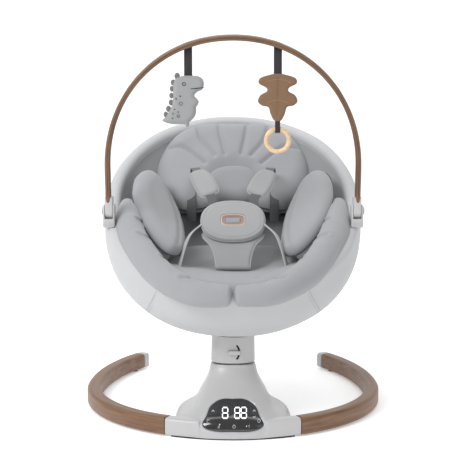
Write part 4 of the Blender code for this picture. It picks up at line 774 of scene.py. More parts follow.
def knitted(name, tint, stitch=900.0, depth=0.00035, melange=0.10, nap=0.25):
    napped = principled(name, 0.85, Sheen_Weight=nap, Sheen_Roughness=0.5, Specular_IOR_Level=0.25)
    return finished(napped, KNIT, Tint=tint, Stitch=stitch, Depth=depth, Melange=melange)


SLING_CLOTH = knitted("sling_cloth", colour(183, 184, 186))
FABRIC = 0.003
RIM_LIP = 0.025


def sling_section(angle):
    """The bowl's wall from bottom to rim, over the hoop and down to the lip inside it."""
    section = [bowl_point(angle, fall) for fall in np.linspace(math.pi / 2, 0.0, 40)[1:]]
    for roll in np.linspace(0, math.pi, 13)[1:]:
        section.append(bowl_point(angle, 0, RIM_ROLL * (1 - math.cos(roll)))
                       + Vector((0, 0, RIM_ROLL * math.sin(roll))))
    section.append(bowl_point(angle, 0, 2 * RIM_ROLL) + Vector((0, 0, -RIM_LIP)))
    return section


def sling_shell(count=200):
    def build(shape):
        columns = [[shape.verts.new(HOOP_TURN @ p) for p in sling_section(2 * math.pi * k / count)]
                   for k in range(count)]
        middle = shape.verts.new(HOOP_TURN @ bowl_point(0, math.pi / 2))
        for k, column in enumerate(columns):
            after = columns[(k + 1) % count]
            shape.faces.new((middle, after[0], column[0]))
            for i in range(len(column) - 1):
                shape.faces.new((column[i], after[i], after[i + 1], column[i + 1]))
        shape.normal_update()

    return mesh_of("sling", build)


def nearest_on(paths, points):
    """Each point's distance to a set of finely sampled paths."""
    samples = np.concatenate([fine_path(path) for path in paths])
    nearest = np.full(len(points), 1e9)
    for start in range(0, len(points), 4000):
        block = points[start:start + 4000]
        gaps = np.linalg.norm(block[:, None, :] - samples[None, :, :], axis=2)
        nearest[start:start + 4000] = gaps.min(axis=1)
    return nearest


def fine_path(path, step=0.0015):
    path = np.array([tuple(p) for p in path])
    runs = []
    for a, b in zip(path[:-1], path[1:]):
        count = max(2, int(np.linalg.norm(b - a) / step))
        runs.append(a + (b - a) * np.linspace(0, 1, count, endpoint=False)[:, None])
    return np.concatenate(runs + [path[-1:]])


def shaped(mesh, moves):
    """Move each vertex along its normal by moves(points, normals), in place."""
    count = len(mesh.vertices)
    points = np.empty(count * 3)
    normals = np.empty(count * 3)
    mesh.vertices.foreach_get("co", points)
    mesh.vertices.foreach_get("normal", normals)
    points, normals = points.reshape(-1, 3), normals.reshape(-1, 3)
    points = points + normals * moves(points, normals)[:, None]
    mesh.vertices.foreach_set("co", points.ravel())
    mesh.update()


def seam_press(paths, depth, width):
    """A sewn seam: a narrow groove with the cloth swelling beside it."""
    def moves(points, normals):
        gap = nearest_on(paths, points)
        swell = 0.25 * depth * np.exp(-((gap - 2.2 * width) / width) ** 2)
        return -depth * np.exp(-(gap / width) ** 2) + swell
    return moves


def drape_noise(size, scale, seed):
    """Slow wandering of a cloth surface."""
    def moves(points, normals):
        return np.array([size * noise.noise(Vector(p) * scale + Vector((seed, seed * 1.7, 0)))
                         for p in points])
    return moves


sling_seams = []
for lean in (-1, 1):
    sling_seams.append([HOOP_TURN @ bowl_point(math.radians(-90 + lean * (31 + 14 * fall)), fall)
                        for fall in np.linspace(0.0, 0.42, 30)])
    sling_seams.append([HOOP_TURN @ bowl_point(math.radians(90 + lean * 17), fall)
                        for fall in np.linspace(0.0, 1.18, 40)])
sling_seams.append([HOOP_TURN @ bowl_point(2 * math.pi * k / 180, 1.18) for k in range(181)])
sling = sling_shell()
shaped(sling, seam_press(sling_seams, 0.0011, 0.0014))
shaped(sling, drape_noise(0.0012, 11.0, 3.0))
walled = placed("sling", sling)
wall = walled.modifiers.new("wall", "SOLIDIFY")
wall.thickness = FABRIC
wall.offset = -1.0
sling = as_mesh(walled)
BRACKET_LOW, BRACKET_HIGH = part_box("right_side_bracket")


def mirrored_box(name, side, low, high, edge=0.0, segments=4):
    xs = sorted((side * low[0], side * high[0]))
    return bevelled_box(name, (xs[0], low[1], low[2]), (xs[1], high[1], high[2]), max(edge, 1e-5), segments)


notch_low = BRACKET_LOW - Vector((0.0006, 0.0008, 0.0006))
notch_high = BRACKET_HIGH + Vector((0.03, 0.0008, 0.02))
notches = [mirrored_box("notch", side, notch_low, notch_high, 0.002) for _, side in SIDES]
sling = cut_with(sling, "sling", "DIFFERENCE", *notches)
piece("sling_bowl", sling, SLING_CLOTH, "seat", "cover", "sling_cover", smooth=50)


def stitch_tree():
    """Geometry Nodes: short stitches of thread laid along a curve at an even pitch."""
    tree = bpy.data.node_groups.new("thread_stitches", "GeometryNodeTree")
    for label, kind, value in (("Geometry", "Geometry", None), ("Pitch", "Float", 0.0032),
                               ("Length", "Float", 0.0022), ("Thickness", "Float", 0.00032),
                               ("Thread", "Material", None)):
        socket = tree.interface.new_socket(label, in_out="INPUT", socket_type="NodeSocket" + kind)
        if value is not None:
            socket.default_value = value
    tree.interface.new_socket("Geometry", in_out="OUTPUT", socket_type="NodeSocketGeometry")

    def add(kind, **settings):
        node = tree.nodes.new(kind)
        for key, value in settings.items():
            setattr(node, key, value)
        return node

    take = add("NodeGroupInput").outputs
    resample = add("GeometryNodeResampleCurve", mode="LENGTH")
    tree.links.new(take["Geometry"], resample.inputs["Curve"])
    tree.links.new(take["Pitch"], resample.inputs["Length"])
    points = add("GeometryNodeCurveToPoints", mode="EVALUATED")
    tree.links.new(resample.outputs["Curve"], points.inputs["Curve"])
    stitch = add("GeometryNodeMeshCylinder")
    stitch.inputs["Vertices"].default_value = 6
    tree.links.new(take["Thickness"], stitch.inputs["Radius"])
    tree.links.new(take["Length"], stitch.inputs["Depth"])
    copies = add("GeometryNodeInstanceOnPoints")
    tree.links.new(points.outputs["Points"], copies.inputs["Points"])
    tree.links.new(stitch.outputs["Mesh"], copies.inputs["Instance"])
    tree.links.new(points.outputs["Rotation"], copies.inputs["Rotation"])
    real = add("GeometryNodeRealizeInstances")
    tree.links.new(copies.outputs["Instances"], real.inputs["Geometry"])
    dressed = add("GeometryNodeSetMaterial")
    tree.links.new(real.outputs["Geometry"], dressed.inputs["Geometry"])
    tree.links.new(take["Thread"], dressed.inputs["Material"])
    tree.links.new(dressed.outputs["Geometry"], add("NodeGroupOutput").inputs["Geometry"])
    return tree


STITCHES = stitch_tree()
GREY_THREAD = knitted("grey_thread", colour(158, 159, 162), 3000.0, 0.0001, 0.2)
BLACK_THREAD = knitted("black_thread", colour(60, 58, 60), 3000.0, 0.0001, 0.2)


def stitched(name, paths, body, slot, thread=GREY_THREAD, pitch=0.0034, length=0.0024, thickness=0.0003):
    """Rows of stitches along paths, as one plain mesh piece."""
    curve = bpy.data.curves.new(name, "CURVE")
    curve.dimensions = "3D"
    for path in paths:
        spline = curve.splines.new("POLY")
        spline.points.add(len(path) - 1)
        for knot, point in zip(spline.points, path):
            knot.co = (*point, 1.0)
    holder = placed(name, curve)
    sew = holder.modifiers.new("sew", "NODES")
    sew.node_group = STITCHES
    sockets = {item.name: item.identifier for item in STITCHES.interface.items_tree
               if item.item_type == "SOCKET" and item.in_out == "INPUT"}
    for label, value in (("Pitch", pitch), ("Length", length), ("Thickness", thickness), ("Thread", thread)):
        sew[sockets[label]] = value
    return piece(name, as_mesh(holder), thread, body, slot, smooth=None)


bowl_rows = []
for path in sling_seams[:4]:
    for shift in (-0.0028, 0.0028):
        row = []
        for i, point in enumerate(path):
            along = (Vector(path[min(i + 1, len(path) - 1)]) - Vector(path[max(i - 1, 0)])).normalized()
            out = (point - (HOOP_CENTRE + Vector((0, 0.03, -0.03)))).normalized()
            row.append(point + along.cross(out).normalized() * shift + out * 0.0004)
        bowl_rows.append(row)
stitched("sling_stitches", bowl_rows, "seat", "cover")


# ------------------------------------------------------------------ side brackets and toy bar
# Grey nylon brackets clip over the hoop and hold the bar's feet between two ears, each with a push button.
# The bar is a flat-section arch with the same walnut foil as the base; a fine groove along its face is not cut
# but drawn as a dark flat cord, its colour painted shade.
FOOT_LOW, FOOT_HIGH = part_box("right_bar_foot")
PIVOT_Y = (FOOT_LOW.y + FOOT_HIGH.y) / 2
FOOT_ROUND = (FOOT_HIGH.y - FOOT_LOW.y) / 2
PIVOT_Z = FOOT_LOW.z + FOOT_ROUND
BUTTON_LOW, BUTTON_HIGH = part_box("right_release_button")
BUTTON_RADIUS = (BUTTON_HIGH.z - BUTTON_LOW.z) / 2
PIN_RADIUS = 0.0028
FIT = 0.0003
hoop_ring = [HOOP_TURN @ bowl_point(2 * math.pi * k / 120, 0, RIM_ROLL) for k in range(120)]


def cord_section(radius, step=2, flat=1.0):
    """A round or flattened section; a larger step leaves fewer sides."""
    return [(radius * x, radius * flat * y) for x, y in circle(20)[::step]]


def bracket_mesh(side):
    """The clip: a block with room for the foot, the hoop and the button, and three fine ribs in front."""
    block = mirrored_box("bracket", side, BRACKET_LOW, BRACKET_HIGH, 0.003)
    clevis = mirrored_box("clevis", side, (FOOT_LOW.x - 0.0006, -1, FOOT_LOW.z - 0.0006),
                          (FOOT_HIGH.x + 0.0006, 1, 1), 0.0008, 2)
    saddle = swept("saddle", hoop_ring, cord_section(HOOP_TUBE_RADIUS + FIT, 1), closed=True)
    hole = rod("hole", (side * (FOOT_HIGH.x - 0.001), PIVOT_Y, PIVOT_Z), (side * 0.28, PIVOT_Y, PIVOT_Z),
               BUTTON_RADIUS + FIT)
    ribs = [mirrored_box("rib", side, BRACKET_LOW + Vector((-0.002, -0.002, z)),
                         (BRACKET_HIGH.x + 0.002, BRACKET_LOW.y + 0.0006, BRACKET_LOW.z + z + 0.0008),
                         0.0002, 1) for z in (0.004, 0.0068, 0.0096)]
    return cut_with(block, "bracket", "DIFFERENCE", clevis, saddle, hole, *ribs)


def button_mesh(side):
    """The push button, with raised ribs across its face."""
    outer = side * (BUTTON_HIGH.x - 0.0009)
    body = rod("button", (side * BUTTON_LOW.x, PIVOT_Y, PIVOT_Z), (outer, PIVOT_Y, PIVOT_Z), BUTTON_RADIUS)
    ribs = [mirrored_box("rib", side, (BUTTON_HIGH.x - 0.0015, PIVOT_Y - reach, PIVOT_Z + z - 0.0006),
                         (BUTTON_HIGH.x, PIVOT_Y + reach, PIVOT_Z + z + 0.0006), 0.0003, 2)
            for z, reach in ((-0.0045, 0.0052), (-0.0022, 0.0066), (0.0, 0.0070), (0.0022, 0.0066),
                             (0.0045, 0.0052))]
    return cut_with(body, "button", "UNION", *ribs)


def foot_mesh(side):
    """The bar's foot: round below, square above, with eased edges and a pocket for the button."""
    rings = []
    for x, inset in ((FOOT_LOW.x, 0.0012), (FOOT_LOW.x + 0.0004, 0.0003), (FOOT_LOW.x + 0.0014, 0.0),
                     (FOOT_HIGH.x - 0.0014, 0.0), (FOOT_HIGH.x - 0.0004, 0.0003), (FOOT_HIGH.x, 0.0012)):
        reach = FOOT_ROUND - inset
        outline = [(reach * math.cos(a), PIVOT_Z + reach * math.sin(a))
                   for a in np.linspace(math.pi, 2 * math.pi, 25)]
        corner = [(reach, FOOT_HIGH.z - 0.003), (reach - 0.0009, FOOT_HIGH.z - 0.0009),
                  (FOOT_ROUND - 0.003, FOOT_HIGH.z - inset)]
        outline += corner + [(-y, z) for y, z in reversed(corner)]
        rings.append([(side * x, PIVOT_Y + y, z) for y, z in outline])
    body = skin_of_rings("foot", rings)
    pocket = rod("pocket", (side * (FOOT_HIGH.x - 0.0045), PIVOT_Y, PIVOT_Z), (side * 0.27, PIVOT_Y, PIVOT_Z),
                 BUTTON_RADIUS + 0.0006)
    return cut_with(body, "foot", "DIFFERENCE", pocket)


for side_name, side in SIDES:
    piece(side_name + "_clip_bracket", bracket_mesh(side), SHELL_GREY, "seat", "shell",
          side_name + "_side_bracket", smooth=35)
    piece(side_name + "_push_button", button_mesh(side), SHELL_GREY, side_name + "_release", "shell",
          side_name + "_release_button", smooth=35)
    piece(side_name + "_foot_socket", foot_mesh(side), SHELL_GREY, "bar", "shell", side_name + "_bar_foot",
          smooth=35)
    piece(side_name + "_hinge_pin", rod("hinge_pin", (side * (BRACKET_LOW.x + 0.001), PIVOT_Y, PIVOT_Z),
                                        (side * (FOOT_HIGH.x - 0.0065), PIVOT_Y, PIVOT_Z), PIN_RADIUS, 24),
          STEEL, "seat", "steel", smooth=40)

BAR_HALF_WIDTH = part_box("toy_bar")[1].x
BAR_LEG = 0.086
BAR_RISE = 0.2585
BAR_FULLNESS = 2.08
BAR_THICKNESS = 0.010
BAR_DEPTH = 0.024
BAR_LEAN = math.radians(8.0)
BAR_TURN = Matrix.Translation((0, PIVOT_Y, PIVOT_Z)) @ Matrix.Rotation(math.pi / 2 + BAR_LEAN, 4, "X")
BAR_START = FOOT_HIGH.z - PIVOT_Z - 0.014
TOY_X = 0.0855
STRAP_WIDTH = 0.0155


def arch_path(leg_start, lift=0.0):
    """The arch's line in its own plane, or lifted off it: straight legs and a full round top."""
    half_width, rise = BAR_HALF_WIDTH - BAR_THICKNESS / 2, BAR_RISE - BAR_THICKNESS / 2
    right = [(half_width, leg_start + (BAR_LEG - leg_start) * k / 8, lift) for k in range(8)]
    for angle in np.linspace(0, math.pi / 2, 60):
        right.append((half_width * math.cos(angle) ** (2 / BAR_FULLNESS),
                      BAR_LEG + rise * math.sin(angle) ** (2 / BAR_FULLNESS), lift))
    return right + [(-x, y, z) for x, y, z in reversed(right[:-1])]


bar_mesh = swept("toy_arch", arch_path(BAR_START), rounded_section(BAR_THICKNESS, BAR_DEPTH, 0.0035, 4))
bar_mesh.transform(BAR_TURN)
slots = []
strap_low, strap_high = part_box("dino_strap")
for _, side in SIDES:
    slot_box = bevelled_box("strap_slot", (side * TOY_X - STRAP_WIDTH / 2 - 0.001, -0.0037, -0.03),
                            (side * TOY_X + STRAP_WIDTH / 2 + 0.001, 0.0037, 0.03), 0.0006, 2)
    slot_box.transform(Matrix.Translation((0, (strap_low.y + strap_high.y) / 2, strap_high.z - 0.0031))
                       @ Matrix.Rotation(BAR_LEAN, 4, "X"))
    slots.append(slot_box)
bar_mesh = cut_with(bar_mesh, "toy_arch", "DIFFERENCE", *slots)
WALNUT_ARCH = walnut("walnut_arch", tuple(BAR_TURN @ Vector((0, BAR_LEG, 0))), (math.pi / 2 + BAR_LEAN, 0, 0),
                     colour(127, 95, 68), colour(90, 62, 40))
piece("toy_arch", bar_mesh, WALNUT_ARCH, "bar", "wood", "toy_bar", smooth=40)
# The groove is a dark flat cord laid on the face, not a cut: its colour is the groove's painted shade.
GROOVE_PAINTED_SHADE = moulded("groove_shade", colour(58, 42, 32), 0.7)
groove = swept("arch_line", arch_path(BAR_START + 0.016, BAR_DEPTH / 2 + 0.00005), cord_section(0.0005, 3, 0.4))
groove.transform(BAR_TURN)
piece("arch_line", groove, GROOVE_PAINTED_SHADE, "bar", "wood", smooth=None)


# ------------------------------------------------------------------ padded liner
# Loose cushions of the same knit over fibre fill, sewn to the liner: a head cushion with its small pillow,
# a back pad, a seat pad, a wing at each side and two long bolsters that lie along the rim.
CUSHION_CLOTH = knitted("cushion_cloth", colour(152, 154, 157), 1000.0, 0.00030, 0.09)
PILLOW_CLOTH = knitted("pillow_cloth", colour(146, 147, 150), 1000.0, 0.00030, 0.09)
PIPING_CLOTH = knitted("piping_cloth", colour(74, 75, 78), 1400.0, 0.0002, 0.12)


def even_outline(outline, spacing):
    """An outline's points at an even spacing, counter-clockwise."""
    points = np.array([tuple(p)[:2] for p in outline])
    after = np.roll(points, -1, axis=0)
    if (points[:, 0] * after[:, 1] - after[:, 0] * points[:, 1]).sum() < 0:
        points = points[::-1]
        after = np.roll(points, -1, axis=0)
    lengths = np.linalg.norm(after - points, axis=1)
    along = np.concatenate([[0], np.cumsum(lengths)])
    count = max(24, int(along[-1] / spacing))
    where = np.linspace(0, along[-1], count, endpoint=False)
    looped = np.vstack([points, points[:1]])
    return np.stack([np.interp(where, along, looped[:, 0]), np.interp(where, along, looped[:, 1])], axis=1)


def gap_to(outline, points):
    """Distance of points from a closed outline."""
    a, b = outline, np.roll(outline, -1, axis=0)
    run = b - a
    nearest = np.full(len(points), 1e9)
    for start in range(0, len(points), 2000):
        block = points[start:start + 2000, None, :]
        t = np.clip(((block - a) * run).sum(axis=2) / (run**2).sum(axis=1), 0, 1)
        nearest[start:start + 2000] = np.linalg.norm(block - (a + run * t[..., None]), axis=2).min(axis=1)
    return nearest


def within(outline, points):
    a, b = outline, np.roll(outline, -1, axis=0)
    x, y = points[:, None, 0], points[:, None, 1]
    with np.errstate(divide="ignore", invalid="ignore"):
        crosses = ((a[:, 1] > y) != (b[:, 1] > y)) & (
            x < (b[:, 0] - a[:, 0]) * (y - a[:, 1]) / (b[:, 1] - a[:, 1]) + a[:, 0])
    return crosses.sum(axis=1) % 2 == 1


def puffed(name, outline, place, up, down, edge, spacing=0.003, press=None):
    """Two layers of cloth sewn together round an outline and filled; place(u, v, h) sets them in space."""
    rim = even_outline(outline, spacing)
    ahead, behind = np.roll(rim, -1, axis=0), np.roll(rim, 1, axis=0)
    inward = np.stack([-(ahead - behind)[:, 1], (ahead - behind)[:, 0]], axis=1)
    inward /= np.linalg.norm(inward, axis=1)[:, None]
    low, high = rim.min(axis=0), rim.max(axis=0)
    xs, ys = np.meshgrid(np.arange(low[0], high[0], spacing), np.arange(low[1], high[1], spacing * 0.866))
    xs[1::2] += spacing / 2
    grid = np.stack([xs.ravel(), ys.ravel()], axis=1)
    rows = [rim + inward * spacing * share for share in (0.15, 0.5, 1.0)]
    rows = [row[within(rim, row) & (gap_to(rim, row) > spacing * share * 0.8)]
            for row, share in zip(rows, (0.15, 0.5, 1.0))]
    grid = grid[within(rim, grid)]
    grid = grid[gap_to(rim, grid) > spacing * 1.55]
    flat = np.vstack([rim, *rows, grid])
    count = len(rim)
    points, _, faces, *_ = geometry.delaunay_2d_cdt([Vector(p) for p in flat], [(i, (i + 1) % count)
                                                    for i in range(count)], [], 1, 1e-7)
    points = np.array([tuple(p) for p in points])
    gaps = gap_to(rim, points)
    gaps[gaps < 1e-6] = 0.0
    reach = np.clip(gaps / edge, 0, 1)
    profile = np.sqrt(1 - (1 - reach)**2)
    tops = up * profile + (0 if press is None else press(points) * np.clip(reach * 1.6, 0, 1))
    bottoms = -down * profile

    def build(shape):
        upper = [shape.verts.new(place(u, v, h)) for (u, v), h in zip(points, tops)]
        lower = [upper[i] if gaps[i] == 0 else shape.verts.new(place(*points[i], bottoms[i]))
                 for i in range(len(points))]
        for face in faces:
            shape.faces.new([upper[i] for i in face])
            if any(gaps[i] for i in face):
                shape.faces.new([lower[i] for i in reversed(face)])
        bmesh.ops.recalc_face_normals(shape, faces=shape.faces[:])

    return mesh_of(name, build)


def pulled(paths, depth, width):
    """A seam that pulls the top cloth down along flat paths."""
    def press(points):
        gap = nearest_on([[(*p, 0.0) for p in path] for path in paths],
                         np.hstack([points, np.zeros((len(points), 1))]))
        return -depth * np.exp(-(gap / width)**1.4)
    return press


def in_hoop(lift):
    """Placing on a surface in the hoop's frame, raised by h."""
    return lambda u, v, h: HOOP_TURN @ Vector((u, v, lift(u, v) + h))


def cloth_waves(mesh, seed, size=0.0016, scale=16.0):
    """Loose cloth's slow waves, and fine creases in one direction."""
    def moves(points, normals):
        out = np.empty(len(points))
        for i, p in enumerate(points):
            at = Vector(p)
            slow = noise.noise(at * scale + Vector((seed, 0, 0)))
            crease = noise.ridged_multi_fractal(at * scale * 0.9 + Vector((0, seed, 0)), 1.0, 2.0, 3, 1.0,
                                                2.0)
            out[i] = size * slow + size * 0.35 * (crease - 1.0)
        return out
    shaped(mesh, moves)
    return mesh


def cushion(name, mesh, node, material=CUSHION_CLOTH, smooth=None):
    """A padded piece of the seat."""
    made = piece(name, mesh, material, "seat", "cushion", node, smooth=smooth)


def edge_piping(name, outline, place, lift, radius=0.0011, spacing=0.004, material=PIPING_CLOTH):
    """A thin corded welt sewn round a cushion's edge."""
    rim = even_outline(outline, spacing)
    path = [place(u, v, lift) for u, v in rim]
    welt = swept(name, path, cord_section(radius), up=(0.02, -0.5, 0.87), closed=True)
    piece(name, welt, material, "seat", "cushion", smooth=None)


def oval_outline(half_width, half_length, fullness, count=96):
    return [(half_width * squared_off(x, fullness), half_length * squared_off(y, fullness))
            for x, y in circle(count)]


# Liner: padded knit from the rim's inner edge down behind the cushions
LINER_STEPS = ((0.0262, -0.0060), (0.0290, -0.0105), (0.0350, -0.0200), (0.0500, -0.0420),
               (0.0700, -0.0660), (0.0900, -0.0850))
liner_rings = [[HOOP_TURN @ (bowl_point(2 * math.pi * k / 160, 0, inset) + Vector((0, 0, z)))
                for k in range(160)] for inset, z in LINER_STEPS]
liner_drop = HOOP_TURN.to_3x3() @ Vector((0, 0, -0.0035))
liner_rings += [[p + liner_drop for p in ring] for ring in reversed(liner_rings)]
liner = skin_of_rings("liner", liner_rings, closed=True)
piece("rim_liner", cloth_waves(liner, 50.0, 0.0009, 12.0), CUSHION_CLOTH, "seat", "cover", smooth=50)

# Head cushion: a wide horseshoe with radiating seams; the small pillow sits in its hollow
HEAD_HALF = [(0.0, 0.284), (0.075, 0.281), (0.135, 0.252), (0.166, 0.195), (0.161, 0.140), (0.140, 0.092),
             (0.108, 0.062), (0.070, 0.066), (0.0, 0.092)]
head_outline = spline_through(both_sides(HEAD_HALF))
HEAD_SEAMS = (((0.033, 0.284), (0.028, 0.245), (0.018, 0.200)),
              ((0.080, 0.276), (0.070, 0.235), (0.040, 0.196)),
              ((0.140, 0.216), (0.105, 0.212), (0.062, 0.176)))
head_seams = [spline_through([(side * x, y) for x, y in knots], closed=False)
              for _, side in SIDES for knots in HEAD_SEAMS]


def head_middle(u, v):
    return -0.068 + 1.7 * max(0.0, v - 0.084)**2


def head_press(points):
    """Seams, and the hollow for the pillow."""
    hollow = ((points[:, 0] / 0.070)**2 + ((points[:, 1] - 0.100) / 0.082)**2)
    return pulled(head_seams, 0.0075, 0.0042)(points) - 0.024 * np.exp(-hollow**3)


head_mesh = puffed("head", head_outline, in_hoop(head_middle), 0.036, 0.018, 0.040, press=head_press)
cushion("head_horseshoe", cloth_waves(head_mesh, 2.0), "head_cushion")
edge_piping("head_piping", head_outline, in_hoop(head_middle), 0.004, 0.0016)
pillow_outline = [(x, y + 0.122) for x, y in oval_outline(0.060, 0.056, 2 / 0.85, 80)]


def pillow_middle(u, v):
    return -0.052 + 1.9 * max(0.0, v - 0.084)**2


pillow_mesh = puffed("pillow", pillow_outline, in_hoop(pillow_middle), 0.020, 0.014, 0.030, 0.0026)
cushion("small_pillow", cloth_waves(pillow_mesh, 5.0, 0.0012), "head_pillow", material=PILLOW_CLOTH)


# Back pad and seat pad: they follow the bowl's floor; the seat pad rises to the front bolsters
def bowl_floor(u, v, inset):
    """The inside of the bowl under a point, in hoop coordinates."""
    shallow, deep = 0.0, math.pi / 2
    for _ in range(24):
        fall = (shallow + deep) / 2
        drop = -(BOWL_DEPTH - inset) * math.sin(fall)
        across, along = u / (HOOP_HALF_WIDTH - inset), (v - BOWL_LEAN * drop) / (HOOP_HALF_LENGTH - inset)
        size = max(1e-9, math.hypot(across, along))
        fullness, flare = wall_shape(-along / size)
        reach = math.cos(fall)**(2 / fullness) * (1 + flare * math.sin(2 * fall))
        outside = abs(across)**HOOP_FULLNESS + abs(along)**HOOP_FULLNESS > reach**HOOP_FULLNESS
        shallow, deep = (shallow, fall) if outside else (fall, deep)
    return -(BOWL_DEPTH - inset) * math.sin(fall)**(2 / fullness)


# The back pad's cloth is the cushion knit made darker: painted shade for the deep floor of the bowl, which lies
# in shadow.
SHADED_BACK_CLOTH = knitted("back_cloth_painted_shade", colour(138, 139, 142), 1000.0, 0.00030, 0.09)
BACK_HALF = [(0.0, 0.150), (0.060, 0.146), (0.110, 0.110), (0.124, 0.045), (0.112, -0.020),
             (0.060, -0.050), (0.0, -0.052)]
on_floor = in_hoop(lambda u, v: bowl_floor(u, v, 0.024))
back_mesh = puffed("back", spline_through(both_sides(BACK_HALF)), on_floor, 0.012, 0.010, 0.022)
cushion("back_panel", cloth_waves(back_mesh, 8.0, 0.0010), "back_pad", material=SHADED_BACK_CLOTH)
SEAT_HALF = [(0.0, -0.262), (0.055, -0.258), (0.105, -0.228), (0.137, -0.170), (0.134, -0.095),
             (0.104, -0.036), (0.052, -0.014), (0.0, -0.010)]


def seat_level(u, v):
    return -0.108 + 0.084 * ease(0.0, 0.202, -0.060 - v) + 1.3 * u * u


seat_seams = [spline_through([(side * 0.045, -0.225), (side * 0.070, -0.190), (side * 0.092, -0.160)],
                             closed=False) for _, side in SIDES]
seat_mesh = puffed("seat", spline_through(both_sides(SEAT_HALF)), in_hoop(seat_level), 0.014, 0.012, 0.024,
                   press=pulled(seat_seams, 0.0025, 0.006))
cushion("seat_cushion", cloth_waves(seat_mesh, 11.0, 0.0014), "seat_pad")

# Wings: leaf-shaped pads that lean against the bowl's side walls
WING_HALF_LENGTH = 0.126
WING_HALF_WIDTH = 0.056
WING_PLACE = (0.156, -0.022, -0.024)


def wing_place(side):
    """Placing on a wing: a along it, b across it (outwards and up) and h out of its face."""
    along = Vector((side * 0.16, 0.985, 0.05)).normalized()
    across = Vector((side * 0.82, -0.10, 0.56))
    across = (across - along * across.dot(along)).normalized()
    face = along.cross(across) * side
    face = face if face.z > 0 else -face
    origin = Vector((side * WING_PLACE[0], WING_PLACE[1], WING_PLACE[2]))

    def on_wing(a, b, h):
        curl = 2.2 * b * b + 0.9 * a * a
        return HOOP_TURN @ (origin + along * a + across * b + face * (h + curl))

    return on_wing


WING_OUTLINE = [(-1.0, 0.06), (-0.62, 0.62), (-0.05, 1.0), (0.50, 0.98), (0.90, 0.62), (1.0, 0.10),
                (0.80, -0.50), (0.20, -0.95), (-0.42, -0.95), (-0.88, -0.60)]
wing_outline = spline_through([(WING_HALF_LENGTH * a, WING_HALF_WIDTH * b) for a, b in WING_OUTLINE])
wing_seam = [spline_through([(-0.105, -0.018), (-0.02, -0.036), (0.085, -0.026)], closed=False)]
for side_name, side in SIDES:
    on_wing = wing_place(side)
    wing = puffed("wing", wing_outline, on_wing, 0.026, 0.010, 0.034, press=pulled(wing_seam, 0.003, 0.006))
    cushion(side_name + "_wing", cloth_waves(wing, 14.0 + side, 0.0013), side_name + "_wing_cushion")
    edge_piping(side_name + "_wing_piping", wing_outline, on_wing, 0.0)

# Bolsters: long soft rolls along the rim that meet at the front and lie over it there
BOLSTER_KNOTS = ((0.215, 0.006, -0.004), (0.211, -0.040, 0.002), (0.204, -0.094, 0.004),
                 (0.184, -0.160, 0.006), (0.140, -0.240, 0.008), (0.072, -0.299, 0.010),
                 (0.0012, -0.308, 0.009))
BOLSTER_RADII = (0.013, 0.023, 0.028, 0.030, 0.028, 0.0235, 0.0195)
rim_room = swept("rim_room", hoop_ring, cord_section(RIM_ROLL + 0.0004, 1), closed=True)
for side_name, side in SIDES:
    line = spline_through([(side * x, y, z) for x, y, z in BOLSTER_KNOTS], per_span=26, closed=False)
    spread = np.linspace(0, 1, len(line))
    radii = np.interp(spread, np.linspace(0, 1, len(BOLSTER_RADII)), BOLSTER_RADII)
    radii = np.convolve(np.pad(radii, 12, mode="edge"), np.ones(25) / 25, mode="valid")
    length = sum((b - a).length for a, b in zip(line, line[1:]))
    run = spread * length
    radii *= np.sqrt(np.clip(1 - np.clip(1 - run / 0.020, 0, 1)**2, 0.0, 1))
    radii *= np.sqrt(np.clip(1 - 0.985 * np.clip(1 - (length - run) / 0.010, 0, 1)**2.2, 0.02, 1))
    roll = swept("bolster", [HOOP_TURN @ p for p in line], circle(56), up=(0, -0.494, 0.870),
                 scales=np.maximum(radii, 0.0004))
    creases = []
    for share, reach in ((0.30, 0.9), (0.47, 1.3), (0.62, 0.8), (0.78, 1.5), (0.86, 0.7)):
        i = int(share * (len(line) - 1))
        ahead = (line[i + 1] - line[i]).normalized()
        inner = Vector((0, 0, 1)).cross(ahead) * -side
        creases.append([HOOP_TURN @ (line[i] + ahead * 0.012 * math.sin(2 * a) + (inner * math.cos(a)
                        + Vector((0, 0, 1)) * math.sin(a)) * radii[i]) for a in np.linspace(-0.2, reach, 14)])
    shaped(roll, seam_press(creases, 0.0042, 0.0042))
    cloth_waves(roll, 20.0 + side, 0.0018, 13.0)
    welt = [HOOP_TURN @ (p + Vector((side * 0.55, -0.62, -0.56)).normalized() * r)
            for p, r in zip(line, radii)][4:-3]
    shaped(roll, seam_press([welt], 0.0016, 0.0016))
    roll = cut_with(roll, "bolster", "DIFFERENCE", rim_room)
    cushion(side_name + "_roll", roll, side_name + "_bolster")


# ------------------------------------------------------------------ harness
# A padded cover with a corded edge lies over the plastic buckle; its button shows through an opening.
# A crotch pad, two waist straps and two shoulder pads on dark webbing lead to it.
PAD_CLOTH = knitted("pad_cloth", colour(158, 159, 161), 1100.0, 0.00025, 0.08)
WELT_CLOTH = knitted("welt_cloth", colour(172, 173, 175), 1500.0, 0.0002, 0.06)
WEBBING = knitted("webbing", colour(92, 93, 96), 2200.0, 0.0002, 0.18)
BUCKLE_PLACE = Matrix.Translation((0, -0.060, 0.378)) @ Matrix.Rotation(math.radians(55), 4, "X")
BUCKLE_HALF_WIDTH, BUCKLE_HALF_LENGTH = 0.065, 0.047
WINDOW_HALF_WIDTH, WINDOW_HALF_LENGTH = 0.0245, 0.0135
PAD_HALF_THICKNESS = 0.007


def on_buckle(u, v, h):
    return BUCKLE_PLACE @ Vector((u, v, h))


